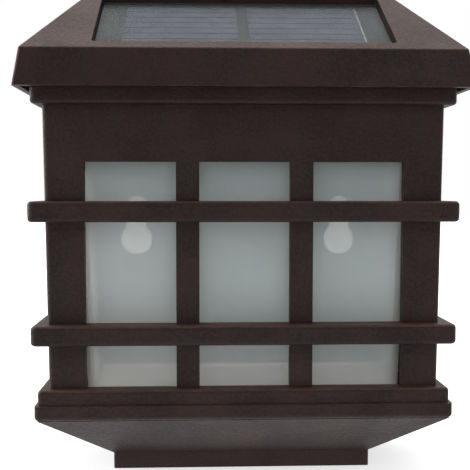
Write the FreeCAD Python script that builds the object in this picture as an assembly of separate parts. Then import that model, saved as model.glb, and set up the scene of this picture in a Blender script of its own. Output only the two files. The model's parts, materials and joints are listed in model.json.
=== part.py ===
import FreeCAD
import Part
import math
import os

# Fence light: a solar lantern that hangs on two screws by keyholes in its back wall.
# Millimetres. X runs to the right, Y towards the wall, Z up. The wall plane is Y = 0 and
# the origin lies on it, midway between the heads of the two keyholes.

Vector = FreeCAD.Vector
X_AXIS = Vector(1, 0, 0)
Y_AXIS = Vector(0, 1, 0)
Z_AXIS = Vector(0, 0, 1)
DOWN = Vector(0, 0, -1)

# ---------------------------------------------------------------- driving dimensions
over = 1.0                      # how far a cutting shape runs past the face it opens
tiny = 1e-6                     # for comparing places

# Body
body_half_width = 62.4          # at the top of the body
body_depth = 52.9               # wall plane to the front face, at the top of the body
body_top_z = 44.2               # underside of the neck collar
body_bottom_z = -48.9           # where the base pan meets the body
draft_deg = 0.75                # the body narrows downwards
body_corner_r = 1.6
wall = 3.0                      # front and side walls
back_wall = 2.5

# Neck collar
collar_proud = 3.2
collar_top_z = 55.0
collar_wall = 2.4
collar_corner_r = 2.1
collar_edge_r = 1.1
ledge = 2.0                     # thickness of the inner ledge that carries the diffuser

# Rails and sill, each proud of the body by the same amount at the front and the sides
rail_proud = 4.6
rail_edge_r = 1.2
rail_corner_r = 2.0
upper_rail_z = (8.1, 14.5)
lower_rail_z = (-30.1, -23.9)
sill_proud = 3.15
sill_top_z = -44.2
sill_edge_r = 1.0

# Windows
front_post = 12.0               # corner post, seen from the front, at window height
mullion = 7.2
window_columns = 3
side_post_front = 12.6
side_post_back = 12.6
window_top_z = 26.7

# Keyholes
keyhole_spacing = 75.0
keyhole_head_r = 5.7
keyhole_slot_r = 3.7
keyhole_rise = 12.2             # head centre to the centre of the slot's end

# Diffuser
diffuser_wall = 1.2
diffuser_gap_side = 6.4         # inside the side walls, at the ledge
diffuser_gap_front = 0.7        # behind the front wall, at the ledge
diffuser_gap_back = 3.5         # room for the heads of the wall screws
diffuser_side_draft_deg = 1.9
diffuser_face_draft_deg = 0.95  # front and back faces
diffuser_corner_r = 3.0
diffuser_floor_z = -46.1        # top of the floor
flange_t = 1.5

# Base pan
base_proud = 4.15
base_step_h = 4.75
base_edge_r = 1.5
pan_wall = 2.2
pyramid_start_inset = 0.9
pyramid_run = 21.3              # how far the pyramid draws in, at the front and the sides
pyramid_drop = 16.4
foot_h = 5.4
foot_corner_r = 0.8
lip_h = 1.3                     # locating lip inside the body's walls
lip_t = 1.4
lip_notch = 1.7                 # room in the lip round the body's bosses
seat_rise = 1.2                 # seat of the base screws above the pyramid's start

# Roof
skirt_proud = 7.6
skirt_bottom_z = 49.0
skirt_h = 11.6
skirt_draft = 1.8               # the skirt draws in by this much over its height
roof_wall = 2.2
roof_clear = 0.4                # beside the collar, at the wall
roof_edge_r = 1.1
slope_deg = 33.0
slope_length = 46.0
hip_inset = 0.437               # draw-in of the sides for each millimetre of depth

# Solar panel, in the plane of the roof slope
recess_side = 4.54              # from the end of the ridge in to the recess
recess_low = 4.7
recess_length = 36.8
recess_corner_r = 1.0
panel_reveal = 1.8              # roof surface down to the top of the panel cover
seal_t = 0.3
board_t = 1.0
cell_t = 0.25
cover_t = 0.55
pocket_floor = 1.8
pocket_wall = 2.0
panel_clear = 0.3
cell_rows = 7
cell_pitch = 4.39
cell_gap = 0.22
cell_inner_x = 1.8
cell_margin = 8.4               # board beside the cells
bus_width = 0.6
bus_gap = 0.1
seal_width = 3.0

# Ceiling plate
plate_t = 2.0
spigot_depth = 7.0
spigot_t = 1.6
plate_clear = 0.35
seat_clear = 0.3
gasket_width = 1.8
gasket_t = 1.0
gasket_inset = 1.2
gasket_clear = 0.15

# Battery tray under the plate
battery_r = 7.0
battery_length = 48.6
battery_nub_r = 2.7
battery_nub_l = 1.4
battery_clear = 0.3
tray_wall = 1.4
tray_side = 13.4                # in from the body's left side
tray_centre_y = -20.0
cradle_t = 1.6
cradle_places = (0.25, 0.75)    # along the tray, as shares of its length
leaf_space = 2.8                # room that the leaf contact takes up
contact_t = 0.4
contact_width = 8.0
contact_drop = 4.2              # below the battery's axis
tab_width = 3.0
tab_h = 2.4                     # above the plate
tab_clear = 0.15
door_t = 1.2
door_clear = 0.2
runner_proud = 1.0
runner_t = 1.2
channel_t = 1.2
grip_rib = 0.8
grip_ribs = 3
grip_pitch = 2.4
grip_from_end = 4.0

# Circuit board on the plate, with its parts placed from the board's middle
board_left_x = -22.0
board_past_switch = 18.0        # from the slider to the board's right edge
board_front_y = -37.0
board_back_y = -12.5
circuit_t = 1.6
post_h = 4.4
post_r = 2.6
post_inset = 3.4
rest_width = 4.0
chip_place = (-7.5, -0.2)
chip_size = (5.0, 4.0, 1.6)
coil_place = (0.5, 0.8)
coil_r = 3.0
coil_h = 3.2
capacitor_place = (-17.0, 0.8)
capacitor_r = 2.0
capacitor_h = 4.4
resistor_size = (1.6, 1.2, 0.8)
resistor_places = ((-9.5, 7.5), (-6.0, 7.5), (-2.5, 7.5))

# Light source under the plate
led_board_half = 20.0
led_board_t = 1.2
led_front_gap = 3.5             # behind the diffuser's front wall
led_tray_gap = 6.1              # in front of the battery tray
led_count = 4
led_pitch = 9.6
led_length = 3.5
led_width = 2.8
led_h = 0.9
reflector_t = 0.9
reflector_h = 6.5
reflector_flare = 2.6
reflector_clear = 0.35

# Switch
switch_past_tray = 5.0          # from the tray to the slider's middle in its off position
switch_y = -17.5
switch_length = 11.0
switch_width = 6.0
switch_shell = 0.7
switch_clear = 0.15
switch_travel = 3.0
slider_length = 5.0
slider_h = 1.4
stem_length = 3.2
stem_width = 2.2
stem_clear = 0.3
knob_length = 4.4
knob_width = 3.4
knob_h = 2.4
knob_grooves = 3
groove_width = 0.5
groove_depth = 0.4

# Screws
screw_r = 1.5
screw_clear = 0.05              # to the pilot hole
hole_clear = 0.25               # to the hole in the part it clamps
head_r = 2.9
head_h = 2.0
base_screw_l = 8.0
roof_screw_l = 8.0
boss_r = 3.3
boss_bite = 0.4                 # how far a boss runs into the wall
boss_h = 4.6                    # stays below the windows
base_screw_y = -26.0
pan_post_wall = 1.5             # round the pocket for a screw head
ceiling_screw_inset = 6.4       # in from the body's sides
ceiling_screw_y = -28.0
board_screw_r = 1.1
board_screw_l = 5.2
board_hole_clear = 0.15
board_head_r = 1.9
board_head_h = 1.2

# Leads
lead_r = 0.6
lead_clear = 0.2
panel_lead_x = 11.0             # right of the circuit board's middle
panel_lead_gap = 5.0
panel_lead_v = 36.0             # distance up the slope
led_lead_insets = (8.0, 12.0)   # from the circuit board's left edge
battery_lead_inset = 3.0

# ---------------------------------------------------------------- sizes that follow
draft = math.tan(math.radians(draft_deg))


def body_half(z):
    """Half width of the drafted body at height z."""
    return body_half_width - (body_top_z - z) * draft


def body_front(z):
    """Y of the body's front face at height z."""
    return -(body_depth - (body_top_z - z) * draft)


ledge_z = body_top_z + ledge
collar_half = body_half_width + collar_proud
collar_front = -(body_depth + collar_proud)
collar_in_half = collar_half - collar_wall
collar_in_front = collar_front + collar_wall
seat_half = collar_in_half - seat_clear
seat_front = collar_in_front + seat_clear
seat_back = -back_wall - seat_clear

base_bottom_z = body_bottom_z - base_step_h
foot_top_z = base_bottom_z - pyramid_drop
foot_bottom_z = foot_top_z - foot_h
pan_half = body_half(base_bottom_z) + base_proud
pan_front = body_front(base_bottom_z) - base_proud
lip_half = body_half(body_bottom_z) - wall - seat_clear
lip_front = body_front(body_bottom_z) + wall + seat_clear
slant_inset = pan_wall * math.hypot(pyramid_run, pyramid_drop) / pyramid_drop
pocket_r = head_r + hole_clear
base_seat_z = base_bottom_z + seat_rise

slope = math.radians(slope_deg)
skirt_top_z = skirt_bottom_z + skirt_h
skirt_half = body_half_width + skirt_proud
skirt_front = -(body_depth + skirt_proud)
slope_half = skirt_half - skirt_draft
slope_front = skirt_front + skirt_draft
ridge_run = slope_length * math.cos(slope)
ridge_z = skirt_top_z + slope_length * math.sin(slope)
ridge_half = slope_half - hip_inset * ridge_run
ridge_front = slope_front + ridge_run
side_tan = math.tan(slope) / hip_inset
side_slope = math.atan(side_tan)

stack_t = seal_t + board_t + cell_t + cover_t
recess_depth = panel_reveal + stack_t
recess_half = ridge_half - recess_side
panel_half = recess_half - panel_clear
cell_outer_x = panel_half - cell_margin
panel_low = recess_low + panel_clear
panel_length = recess_length - 2 * panel_clear
panel_high = panel_low + panel_length
panel_under = -recess_depth + seal_t
cell_base = panel_under + board_t
cells_low = panel_low + (panel_length - cell_rows * cell_pitch) / 2
cells_high = cells_low + cell_rows * cell_pitch

plate_top_z = collar_top_z + plate_t
plate_rise = (plate_top_z - skirt_bottom_z) / skirt_h
plate_half = skirt_half - skirt_draft * plate_rise - roof_wall - plate_clear
plate_front = skirt_front + skirt_draft * plate_rise + roof_wall + plate_clear
plate_back = -roof_wall - plate_clear

tray_half = battery_r + battery_clear + tray_wall
tray_front = tray_centre_y - tray_half
tray_back = tray_centre_y + tray_half
tray_length = 2 * tray_wall + leaf_space + battery_length + battery_nub_l + contact_t
tray_left_x = tray_side - body_half_width
tray_right_x = tray_left_x + tray_length
tray_in_left = tray_left_x + tray_wall
tray_in_right = tray_right_x - tray_wall
battery_z = collar_top_z - tray_wall - battery_clear - battery_r
door_top_z = battery_z - battery_r - battery_clear
tray_bottom_z = door_top_z + door_clear

switch_x = tray_right_x + switch_past_tray
board_right_x = switch_x + board_past_switch
board_z = plate_top_z + post_h
board_top_z = board_z + circuit_t
board_mid_x = (board_left_x + board_right_x) / 2
board_mid_y = (board_front_y + board_back_y) / 2
led_board_z = collar_top_z - led_board_t
led_board_front_y = body_front(ledge_z) + wall + diffuser_gap_front + diffuser_wall + led_front_gap
led_board_back_y = tray_front - led_tray_gap
led_mid_y = (led_board_front_y + led_board_back_y) / 2
led_lead_y = (board_front_y + led_board_back_y) / 2
knob_top_z = collar_top_z - door_clear


# ---------------------------------------------------------------- shape helpers
def box(x0, x1, y0, y1, z0, z1):
    """Box between two corners."""
    return Part.makeBox(x1 - x0, y1 - y0, z1 - z0, Vector(x0, y0, z0))


def slab(half, front, back, z0, z1):
    """Box centred on X = 0."""
    return box(-half, half, front, back, z0, z1)


def cylinder(radius, start, length, axis):
    """Cylinder from a point along an axis."""
    return Part.makeCylinder(radius, length, start, axis)


def closed_face(points):
    """Flat face inside a run of corner points."""
    return Part.Face(Part.makePolygon(points + points[:1]))


def plan_points(z, half, front, back):
    """Corners of a rectangular plan outline at height z."""
    return [
        Vector(-half, front, z),
        Vector(half, front, z),
        Vector(half, back, z),
        Vector(-half, back, z),
    ]


def frustum(low, high):
    """Flat-sided block between two plan outlines, each (z, half width, front, back)."""
    bottom = plan_points(*low)
    top = plan_points(*high)
    faces = [closed_face(bottom[::-1]), closed_face(top)]
    for i in range(4):
        j = (i + 1) % 4
        faces.append(closed_face([bottom[i], bottom[j], top[j], top[i]]))
    return Part.makeSolid(Part.makeShell(faces))


def round_corners(block, radius):
    """Rounds the two upright edges at a block's front."""
    middle = block.BoundBox.Center.y
    upright = [e for e in block.Edges if e.BoundBox.ZLength > tiny and e.CenterOfMass.y < middle]
    return block.makeFillet(radius, upright)


def round_rim(solid, z, radius):
    """Rounds the outer rim at height z, leaving the edge on the wall plane."""
    rim = []
    for edge in solid.Edges:
        bounds = edge.BoundBox
        level = abs(bounds.ZMin - z) < tiny and abs(bounds.ZMax - z) < tiny
        if level and bounds.YMin < -tiny:
            rim.append(edge)
    return solid.makeFillet(radius, rim)


def round_block(half, y0, y1, z0, z1, radius):
    """Box centred on X = 0 whose four upright edges are rounded."""
    block = slab(half, y0, y1, z0, z1)
    return block.makeFillet(radius, [e for e in block.Edges if e.BoundBox.ZLength > tiny])


def on_slope(shape):
    """Moves a shape from slope coordinates (across, up the slope, out of it) to the roof."""
    turned = shape.copy()
    turned.Placement = FreeCAD.Placement(
        Vector(0, slope_front, skirt_top_z), FreeCAD.Rotation(X_AXIS, slope_deg)
    )
    return turned


def slope_point(u, v, w):
    """Point of the model at slope coordinates u, v, w."""
    y = slope_front + v * math.cos(slope) - w * math.sin(slope)
    z = skirt_top_z + v * math.sin(slope) + w * math.cos(slope)
    return Vector(u, y, z)


def screw(point, axis, radius, length, top_r, top_h):
    """Screw whose head's underside lies on a point, with its shank along an axis."""
    shank = cylinder(radius, point, length, axis)
    return cylinder(top_r, point, top_h, axis * -1).fuse(shank)


def union(shapes):
    """One solid from overlapping shapes, with seams merged."""
    return shapes[0].multiFuse(shapes[1:]).removeSplitter()


def save(name, shape):
    """Writes one piece."""
    shape.exportStep("parts/" + name + ".step")


# ---------------------------------------------------------------- lantern body
def body_level(z, inset, back):
    """Plan outline of the drafted body at height z, drawn in by a wall thickness."""
    return (z, body_half(z) - inset, body_front(z) + inset, back)


def band(z0, z1, proud, corner_r):
    """Band round the front and sides, proud of the body at its middle height."""
    middle = (z0 + z1) / 2
    block = slab(body_half(middle) + proud, body_front(middle) - proud, 0, z0, z1)
    return round_corners(block, corner_r)


def rail(z0, z1):
    """Wrap-round rail with both outer edges rounded."""
    shape = band(z0, z1, rail_proud, rail_corner_r)
    return round_rim(round_rim(shape, z0, rail_edge_r), z1, rail_edge_r)


def window_rows():
    """Lower and upper height of each row of windows."""
    return [
        (sill_top_z, lower_rail_z[0]),
        (lower_rail_z[1], upper_rail_z[0]),
        (upper_rail_z[1], window_top_z),
    ]


def window_spans():
    """Left and right X of each front window."""
    outer = body_half((window_top_z + sill_top_z) / 2) - front_post
    width = (2 * outer - (window_columns - 1) * mullion) / window_columns
    starts = [-outer + i * (width + mullion) for i in range(window_columns)]
    return [(x, x + width) for x in starts]


def windows():
    """Cutting blocks for all windows, past both faces of the walls."""
    side_out = body_half_width + over
    side_in = body_half(body_bottom_z) - wall - over
    front_out = -body_depth - over
    front_in = body_front(body_bottom_z) + wall + over
    side_span = (-body_depth + side_post_front, -side_post_back)
    cuts = []
    for z0, z1 in window_rows():
        for x0, x1 in window_spans():
            cuts.append(box(x0, x1, front_out, front_in, z0, z1))
        cuts.append(box(side_in, side_out, *side_span, z0, z1))
        cuts.append(box(-side_out, -side_in, *side_span, z0, z1))
    return cuts


def keyhole(x):
    """Cutting shape of one keyhole through the back wall."""
    start = -back_wall - over
    through = back_wall + 2 * over
    head = cylinder(keyhole_head_r, Vector(x, start, 0), through, Y_AXIS)
    end = cylinder(keyhole_slot_r, Vector(x, start, keyhole_rise), through, Y_AXIS)
    slot = box(x - keyhole_slot_r, x + keyhole_slot_r, start, start + through, 0, keyhole_rise)
    return union([head, end, slot])


def boss_points():
    """X, Y of the bosses that take the base screws."""
    x = body_half(body_bottom_z) - wall - boss_r + boss_bite
    return [(-x, base_screw_y), (x, base_screw_y)]


def screw_bosses():
    """Bosses at the foot of the side walls, each with a web to its wall."""
    pieces = []
    reach = body_half(body_bottom_z) - wall / 2
    top = body_bottom_z + boss_h
    for x, y in boss_points():
        pieces.append(cylinder(boss_r, Vector(x, y, body_bottom_z), boss_h, Z_AXIS))
        edge = math.copysign(reach, x)
        pieces.append(box(min(x, edge), max(x, edge), y - wall / 2, y + wall / 2, body_bottom_z, top))
    return pieces


def lantern_body():
    """The housing: drafted shell, collar, rails, sill, window grid and keyholes."""
    shell = frustum(body_level(body_bottom_z, 0, 0), body_level(ledge_z, 0, 0))
    collar = slab(collar_half, collar_front, 0, body_top_z, collar_top_z)
    sill = band(body_bottom_z, sill_top_z, sill_proud, body_corner_r)
    outside = union([
        round_corners(shell, body_corner_r),
        round_rim(round_corners(collar, collar_corner_r), body_top_z, collar_edge_r),
        rail(*upper_rail_z),
        rail(*lower_rail_z),
        round_rim(sill, sill_top_z, sill_edge_r),
    ])
    below = body_bottom_z - over
    inside = frustum(body_level(below, wall, -back_wall), body_level(ledge_z, wall, -back_wall))
    neck = slab(collar_in_half, collar_in_front, -back_wall, ledge_z, collar_top_z + over)
    holes = [keyhole(side * keyhole_spacing / 2) for side in (-1, 1)]
    housing = outside.cut([inside, neck] + windows() + holes)
    pilots = [
        cylinder(screw_r + screw_clear, Vector(x, y, below), boss_h + 2 * over, Z_AXIS)
        for x, y in boss_points()
    ]
    return union([housing] + screw_bosses()).cut(pilots)


# ---------------------------------------------------------------- diffuser
def diffuser_level(z, inset):
    """Outline of the frosted cup at height z, drawn in by a wall thickness."""
    side_lean = (ledge_z - z) * math.tan(math.radians(diffuser_side_draft_deg))
    face_lean = (ledge_z - z) * math.tan(math.radians(diffuser_face_draft_deg))
    half = body_half(ledge_z) - wall - diffuser_gap_side - side_lean - inset
    front = body_front(ledge_z) + wall + diffuser_gap_front + face_lean + inset
    back = -(back_wall + diffuser_gap_back) - face_lean - inset
    return (z, half, front, back)


def diffuser():
    """Frosted cup, open at the top, with a flange that rests on the collar's ledge."""
    top = ledge_z + flange_t
    cup = frustum(diffuser_level(diffuser_floor_z - diffuser_wall, 0), diffuser_level(top, 0))
    hollow = frustum(
        diffuser_level(diffuser_floor_z, diffuser_wall), diffuser_level(top + over, diffuser_wall)
    )
    cup = round_corners(cup, diffuser_corner_r)
    flange = slab(seat_half, seat_front, seat_back, ledge_z, top)
    return union([cup, flange]).cut(round_corners(hollow, diffuser_corner_r - diffuser_wall))


# ---------------------------------------------------------------- base pan
def pyramid(inset, back):
    """Inverted pyramid, drawn in by a wall thickness."""
    half = pan_half - pyramid_start_inset - inset
    front = pan_front + pyramid_start_inset + inset
    high = (base_bottom_z, half, front, back)
    low = (foot_top_z, half - pyramid_run, front + pyramid_run, back)
    return frustum(low, high)


def foot(inset, back, z0):
    """Foot under the pyramid, drawn in by a wall thickness."""
    draw = pyramid_start_inset + pyramid_run + inset
    return slab(pan_half - draw, pan_front + draw, back, z0, foot_top_z)


def pan_core():
    """Channel in the pan's thick rim, open upwards and covered by the body."""
    floor = base_bottom_z + pan_wall
    top = body_bottom_z + over
    outer = slab(pan_half - pan_wall, pan_front + pan_wall, seat_back, floor, top)
    return outer.cut(slab(lip_half, lip_front, over, floor - over, top + over))


def base_pan():
    """Hollow pan: lower sill step, inverted pyramid, foot, locating lip and screw posts."""
    step = round_corners(slab(pan_half, pan_front, 0, base_bottom_z, body_bottom_z), body_corner_r)
    outside = union([
        round_rim(step, base_bottom_z, base_edge_r),
        pyramid(0, 0),
        round_corners(foot(0, 0, foot_bottom_z), foot_corner_r),
    ])
    lip_top = body_bottom_z + lip_h
    lip = slab(lip_half, lip_front, seat_back, body_bottom_z, lip_top)
    well_half = lip_half - lip_t
    well_front = lip_front + lip_t
    well_back = seat_back - lip_t
    well = slab(well_half, well_front, well_back, base_bottom_z, lip_top + over)
    below = slab(well_half, well_front, well_back, foot_top_z, base_bottom_z)
    inside = [
        well,
        pyramid(slant_inset, well_back).common(below),
        foot(slant_inset, well_back, foot_bottom_z + pan_wall),
        pan_core(),
    ]
    posts = []
    holes = []
    for x, y in boss_points():
        post_r_pan = pocket_r + pan_post_wall
        posts.append(cylinder(post_r_pan, Vector(x, y, foot_top_z), body_bottom_z - foot_top_z, Z_AXIS))
        depth = base_seat_z - foot_bottom_z
        holes.append(cylinder(pocket_r, Vector(x, y, foot_bottom_z), depth, Z_AXIS))
        rest = body_bottom_z - base_seat_z + 2 * over
        holes.append(cylinder(screw_r + hole_clear, Vector(x, y, base_seat_z - over), rest, Z_AXIS))
        notch = cylinder(boss_r + lip_notch, Vector(x, y, body_bottom_z), lip_h + over, Z_AXIS)
        lip = lip.cut(notch)
    shell = union([outside, lip]).cut(inside)
    return union([shell, union(posts).common(outside)]).cut(holes)


def base_screws():
    """Screws that hold the base pan, driven up from its underside."""
    return Part.makeCompound([
        screw(Vector(x, y, base_seat_z), Z_AXIS, screw_r, base_screw_l, head_r, head_h)
        for x, y in boss_points()
    ])


# ---------------------------------------------------------------- roof
def hip_level(z, inset):
    """Plan outline of the hipped roof at height z, its planes moved in by a thickness."""
    half = slope_half - (z - skirt_top_z + inset / math.cos(side_slope)) / side_tan
    front = slope_front + (z - skirt_top_z + inset / math.cos(slope)) / math.tan(slope)
    return (z, half, front, -inset)


def roof_outside():
    """Outer form: drafted skirt, front slope, hipped sides and flat ridge, edges rounded."""
    eaves = (skirt_top_z, slope_half, slope_front, 0)
    skirt = frustum((skirt_bottom_z, skirt_half, skirt_front, 0), eaves)
    shape = union([skirt, frustum(eaves, (ridge_z, ridge_half, ridge_front, 0))])
    crests = []
    for edge in shape.Edges:
        bounds = edge.BoundBox
        if bounds.YMin < -tiny and bounds.ZMax > skirt_bottom_z + tiny:
            crests.append(edge)
    return shape.makeFillet(roof_edge_r, crests)


def roof_inside():
    """Hollow of the roof, parallel to its outside."""
    low_z = skirt_top_z - roof_wall * (1 / math.cos(slope) - math.tan(slope))
    low = hip_level(low_z, roof_wall)
    start_z = skirt_bottom_z - over
    spread = (low_z - start_z) * skirt_draft / skirt_h
    start = (start_z, low[1] + spread, low[2] - spread, -roof_wall)
    return union([frustum(start, low), frustum(low, hip_level(ridge_z - roof_wall, roof_wall))])


def ceiling_screw_points():
    """X, Y of the screws between the ceiling plate and the roof."""
    x = body_half_width - ceiling_screw_inset
    return [(-x, ceiling_screw_y), (x, ceiling_screw_y)]


def panel_lead_places():
    """X of the red and the black panel lead."""
    right = board_mid_x + panel_lead_x
    return (right, right - panel_lead_gap)


def panel_recess():
    """Cutting shapes of the recess for the panel and of the slot for its leads."""
    recess = on_slope(round_block(
        recess_half, recess_low, recess_low + recess_length,
        -recess_depth, slope_length, recess_corner_r,
    ))
    room = lead_r + lead_clear
    right, left = panel_lead_places()
    top = slope_point(0, panel_lead_v, panel_under)
    drop = 2 * (pocket_floor + seal_t) / math.cos(slope)
    slot = box(left - room, right + room, top.y - room, top.y + room, top.z - drop, top.z + over)
    return [recess, slot]


def roof_cap():
    """Roof moulding with skirt, panel pocket, screw posts and closed back."""
    outside = roof_outside()
    opening = slab(collar_half + roof_clear, -roof_wall - over, over, 0, collar_top_z)
    shell = outside.cut([roof_inside(), opening])
    pocket = on_slope(box(
        -recess_half - pocket_wall, recess_half + pocket_wall,
        recess_low - pocket_wall, recess_low + recess_length + pocket_wall,
        -recess_depth - pocket_floor, 0,
    )).common(outside)
    posts = []
    pilots = []
    for x, y in ceiling_screw_points():
        posts.append(cylinder(boss_r, Vector(x, y, plate_top_z), ridge_z - plate_top_z, Z_AXIS))
        start = Vector(x, y, plate_top_z - over)
        pilots.append(cylinder(screw_r + screw_clear, start, roof_screw_l, Z_AXIS))
    posts = union(posts).common(outside)
    return union([shell, pocket, posts]).cut(panel_recess() + pilots)


def panel_layer(w, thickness):
    """Layer with the panel's outline, w out of the slope."""
    return on_slope(round_block(
        panel_half, panel_low, panel_high, w, w + thickness, recess_corner_r,
    ))


def panel_seal():
    """Bead of sealant under the rim of the panel board."""
    hole = on_slope(slab(
        panel_half - seal_width, panel_low + seal_width, panel_high - seal_width,
        -recess_depth - over, 0,
    ))
    return panel_layer(-recess_depth, seal_t).cut(hole)


def solar_cells():
    """Cell strips in two columns."""
    cells = []
    for row in range(cell_rows):
        v0 = cells_low + row * cell_pitch + cell_gap / 2
        v1 = v0 + cell_pitch - cell_gap
        for u0, u1 in ((-cell_outer_x, -cell_inner_x), (cell_inner_x, cell_outer_x)):
            cells.append(on_slope(box(u0, u1, v0, v1, cell_base, cell_base + cell_t)))
    return Part.makeCompound(cells)


def cell_bus():
    """Tinned ribbon that collects from the right-hand column."""
    x = cell_outer_x + bus_gap
    return on_slope(box(x, x + bus_width, cells_low, cells_high, cell_base, cell_base + cell_t))


# ---------------------------------------------------------------- ceiling plate
def gasket_strip(z0, z1, slack):
    """Strip in the plate's underside above the collar's rim, open towards the wall."""
    half = collar_half - gasket_inset + slack
    front = collar_front + gasket_inset - slack
    width = gasket_width + 2 * slack
    back = plate_back - gasket_inset + slack
    inner = slab(half - width, front + width, over, z0 - over, z1 + over)
    return slab(half, front, back, z0, z1).cut(inner)


def spigot():
    """Ring under the plate that drops into the collar."""
    z0 = collar_top_z - spigot_depth
    outer = slab(seat_half, seat_front, seat_back, z0, collar_top_z)
    inner = slab(
        seat_half - spigot_t, seat_front + spigot_t, seat_back - spigot_t, z0 - over, collar_top_z
    )
    return outer.cut(inner)


def battery_tray():
    """Open-bottomed battery tray with runners for its door and two cradle ribs."""
    outer = box(tray_left_x, tray_right_x, tray_front, tray_back, tray_bottom_z, collar_top_z)
    inner = box(
        tray_in_left, tray_in_right, tray_front + tray_wall, tray_back - tray_wall,
        tray_bottom_z - over, collar_top_z,
    )
    top = tray_bottom_z + runner_t
    pieces = [
        outer.cut(inner),
        box(tray_left_x, tray_right_x, tray_front - runner_proud, tray_front, tray_bottom_z, top),
        box(tray_left_x, tray_right_x, tray_back, tray_back + runner_proud, tray_bottom_z, top),
    ]
    length = tray_in_right - tray_in_left
    centre = Vector(tray_in_left, tray_centre_y, battery_z)
    room = cylinder(battery_r + battery_clear, centre, length, X_AXIS)
    for share in cradle_places:
        x = tray_in_left + length * share
        rib = box(
            x - cradle_t / 2, x + cradle_t / 2, tray_front + tray_wall, tray_back - tray_wall,
            battery_z, collar_top_z,
        )
        pieces.append(rib.cut(room))
    return union(pieces)


def board_corner(right, back):
    """X, Y of a support in one corner of the circuit board."""
    x = board_right_x - post_inset if right else board_left_x + post_inset
    y = board_back_y - post_inset if back else board_front_y + post_inset
    return (x, y)


def board_posts():
    """X, Y of the two screw posts of the circuit board, on one diagonal."""
    return [board_corner(False, False), board_corner(True, True)]


def board_rests():
    """X, Y of the two square rests of the circuit board, on the other diagonal."""
    return [board_corner(False, True), board_corner(True, False)]


def contact_places():
    """Left faces of the leaf contact's tab and the flat contact's tab."""
    return (tray_in_left, tray_in_right - contact_t)


def led_lead_places():
    """X of the two leads from the strip board to the circuit board."""
    return [board_left_x + inset for inset in led_lead_insets]


def stem_slot(z0, z1):
    """Cutting shape for the slider's stem over its whole travel."""
    half = stem_length / 2 + stem_clear
    side = stem_width / 2 + stem_clear
    return box(
        switch_x - half, switch_x + half + switch_travel, switch_y - side, switch_y + side, z0, z1
    )


def ceiling_plate():
    """Plate that closes the roof, with spigot ring, battery tray and board posts."""
    plate = slab(plate_half, plate_front, plate_back, collar_top_z, plate_top_z)
    supports = [cylinder(post_r, Vector(x, y, plate_top_z), post_h, Z_AXIS) for x, y in board_posts()]
    for x, y in board_rests():
        half = rest_width / 2
        supports.append(box(x - half, x + half, y - half, y + half, plate_top_z, board_z))
    body = union([plate, spigot(), battery_tray()] + supports)
    under = collar_top_z - over
    above = plate_top_z + over
    through = plate_t + 2 * over
    cuts = [gasket_strip(under, collar_top_z + gasket_t, gasket_clear), stem_slot(under, above)]
    for x, y in ceiling_screw_points():
        cuts.append(cylinder(screw_r + hole_clear, Vector(x, y, under), through, Z_AXIS))
    for x, y in board_posts():
        start = Vector(x, y, board_top_z - board_screw_l - over)
        cuts.append(cylinder(board_screw_r + screw_clear, start, board_screw_l + over, Z_AXIS))
    side = tab_width / 2 + tab_clear
    for x in contact_places():
        cuts.append(box(
            x - tab_clear, x + contact_t + tab_clear,
            tray_centre_y - side, tray_centre_y + side, under, above,
        ))
    room = lead_r + lead_clear
    first, last = led_lead_places()
    cuts.append(box(first - room, last + room, led_lead_y - room, led_lead_y + room, under, above))
    return body.cut(cuts)


def ceiling_screws():
    """Screws that hold the plate to the roof's posts."""
    return Part.makeCompound([
        screw(Vector(x, y, collar_top_z), Z_AXIS, screw_r, roof_screw_l, head_r, head_h)
        for x, y in ceiling_screw_points()
    ])


# ---------------------------------------------------------------- battery
def battery():
    """Round cell with its raised positive end against the flat contact."""
    nub_end = tray_in_right - contact_t
    start = Vector(nub_end - battery_nub_l - battery_length, tray_centre_y, battery_z)
    can = cylinder(battery_r, start, battery_length, X_AXIS)
    nub = cylinder(battery_nub_r, start, battery_length + battery_nub_l, X_AXIS)
    return union([can, nub])


def battery_contacts():
    """Leaf contact at the left end of the tray and flat contact at the right, with solder tabs."""
    left, right = contact_places()
    low = battery_z - contact_drop
    high = collar_top_z - tray_wall
    y0 = tray_centre_y - contact_width / 2
    touch = tray_in_left + leaf_space
    profile = [
        Vector(left, y0, high),
        Vector(left, y0, low),
        Vector(left + contact_t, y0, low),
        Vector(touch, y0, battery_z),
        Vector(touch - contact_t, y0, battery_z + contact_t),
        Vector(left + contact_t, y0, low + 2 * contact_t),
        Vector(left + contact_t, y0, high),
    ]
    leaf = closed_face(profile).extrude(Vector(0, contact_width, 0))
    flat = box(right, right + contact_t, y0, y0 + contact_width, low, high)
    pieces = []
    for plate, x in ((leaf, left), (flat, right)):
        tab = box(
            x, x + contact_t, tray_centre_y - tab_width / 2, tray_centre_y + tab_width / 2,
            high, plate_top_z + tab_h,
        )
        pieces.append(union([plate, tab]))
    return Part.makeCompound(pieces)


def battery_door():
    """Sliding door whose channels run on the tray's runners, with finger ribs underneath."""
    reach = tray_half + runner_proud + door_clear + channel_t
    low = door_top_z - door_t
    hook_z = tray_bottom_z + runner_t + door_clear
    top = hook_z + channel_t
    tip = tray_half + seat_clear
    pieces = [box(
        tray_left_x, tray_right_x, tray_centre_y - reach, tray_centre_y + reach, low, door_top_z
    )]
    for side in (-1, 1):
        outer = tray_centre_y + side * reach
        inner = outer - side * channel_t
        end = tray_centre_y + side * tip
        pieces.append(box(tray_left_x, tray_right_x, min(outer, inner), max(outer, inner), low, top))
        pieces.append(box(tray_left_x, tray_right_x, min(outer, end), max(outer, end), hook_z, top))
    for i in range(grip_ribs):
        x = tray_right_x - grip_from_end - i * grip_pitch
        pieces.append(box(
            x - grip_rib, x, tray_centre_y - battery_r, tray_centre_y + battery_r, low - grip_rib, low
        ))
    return union(pieces)


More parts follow.
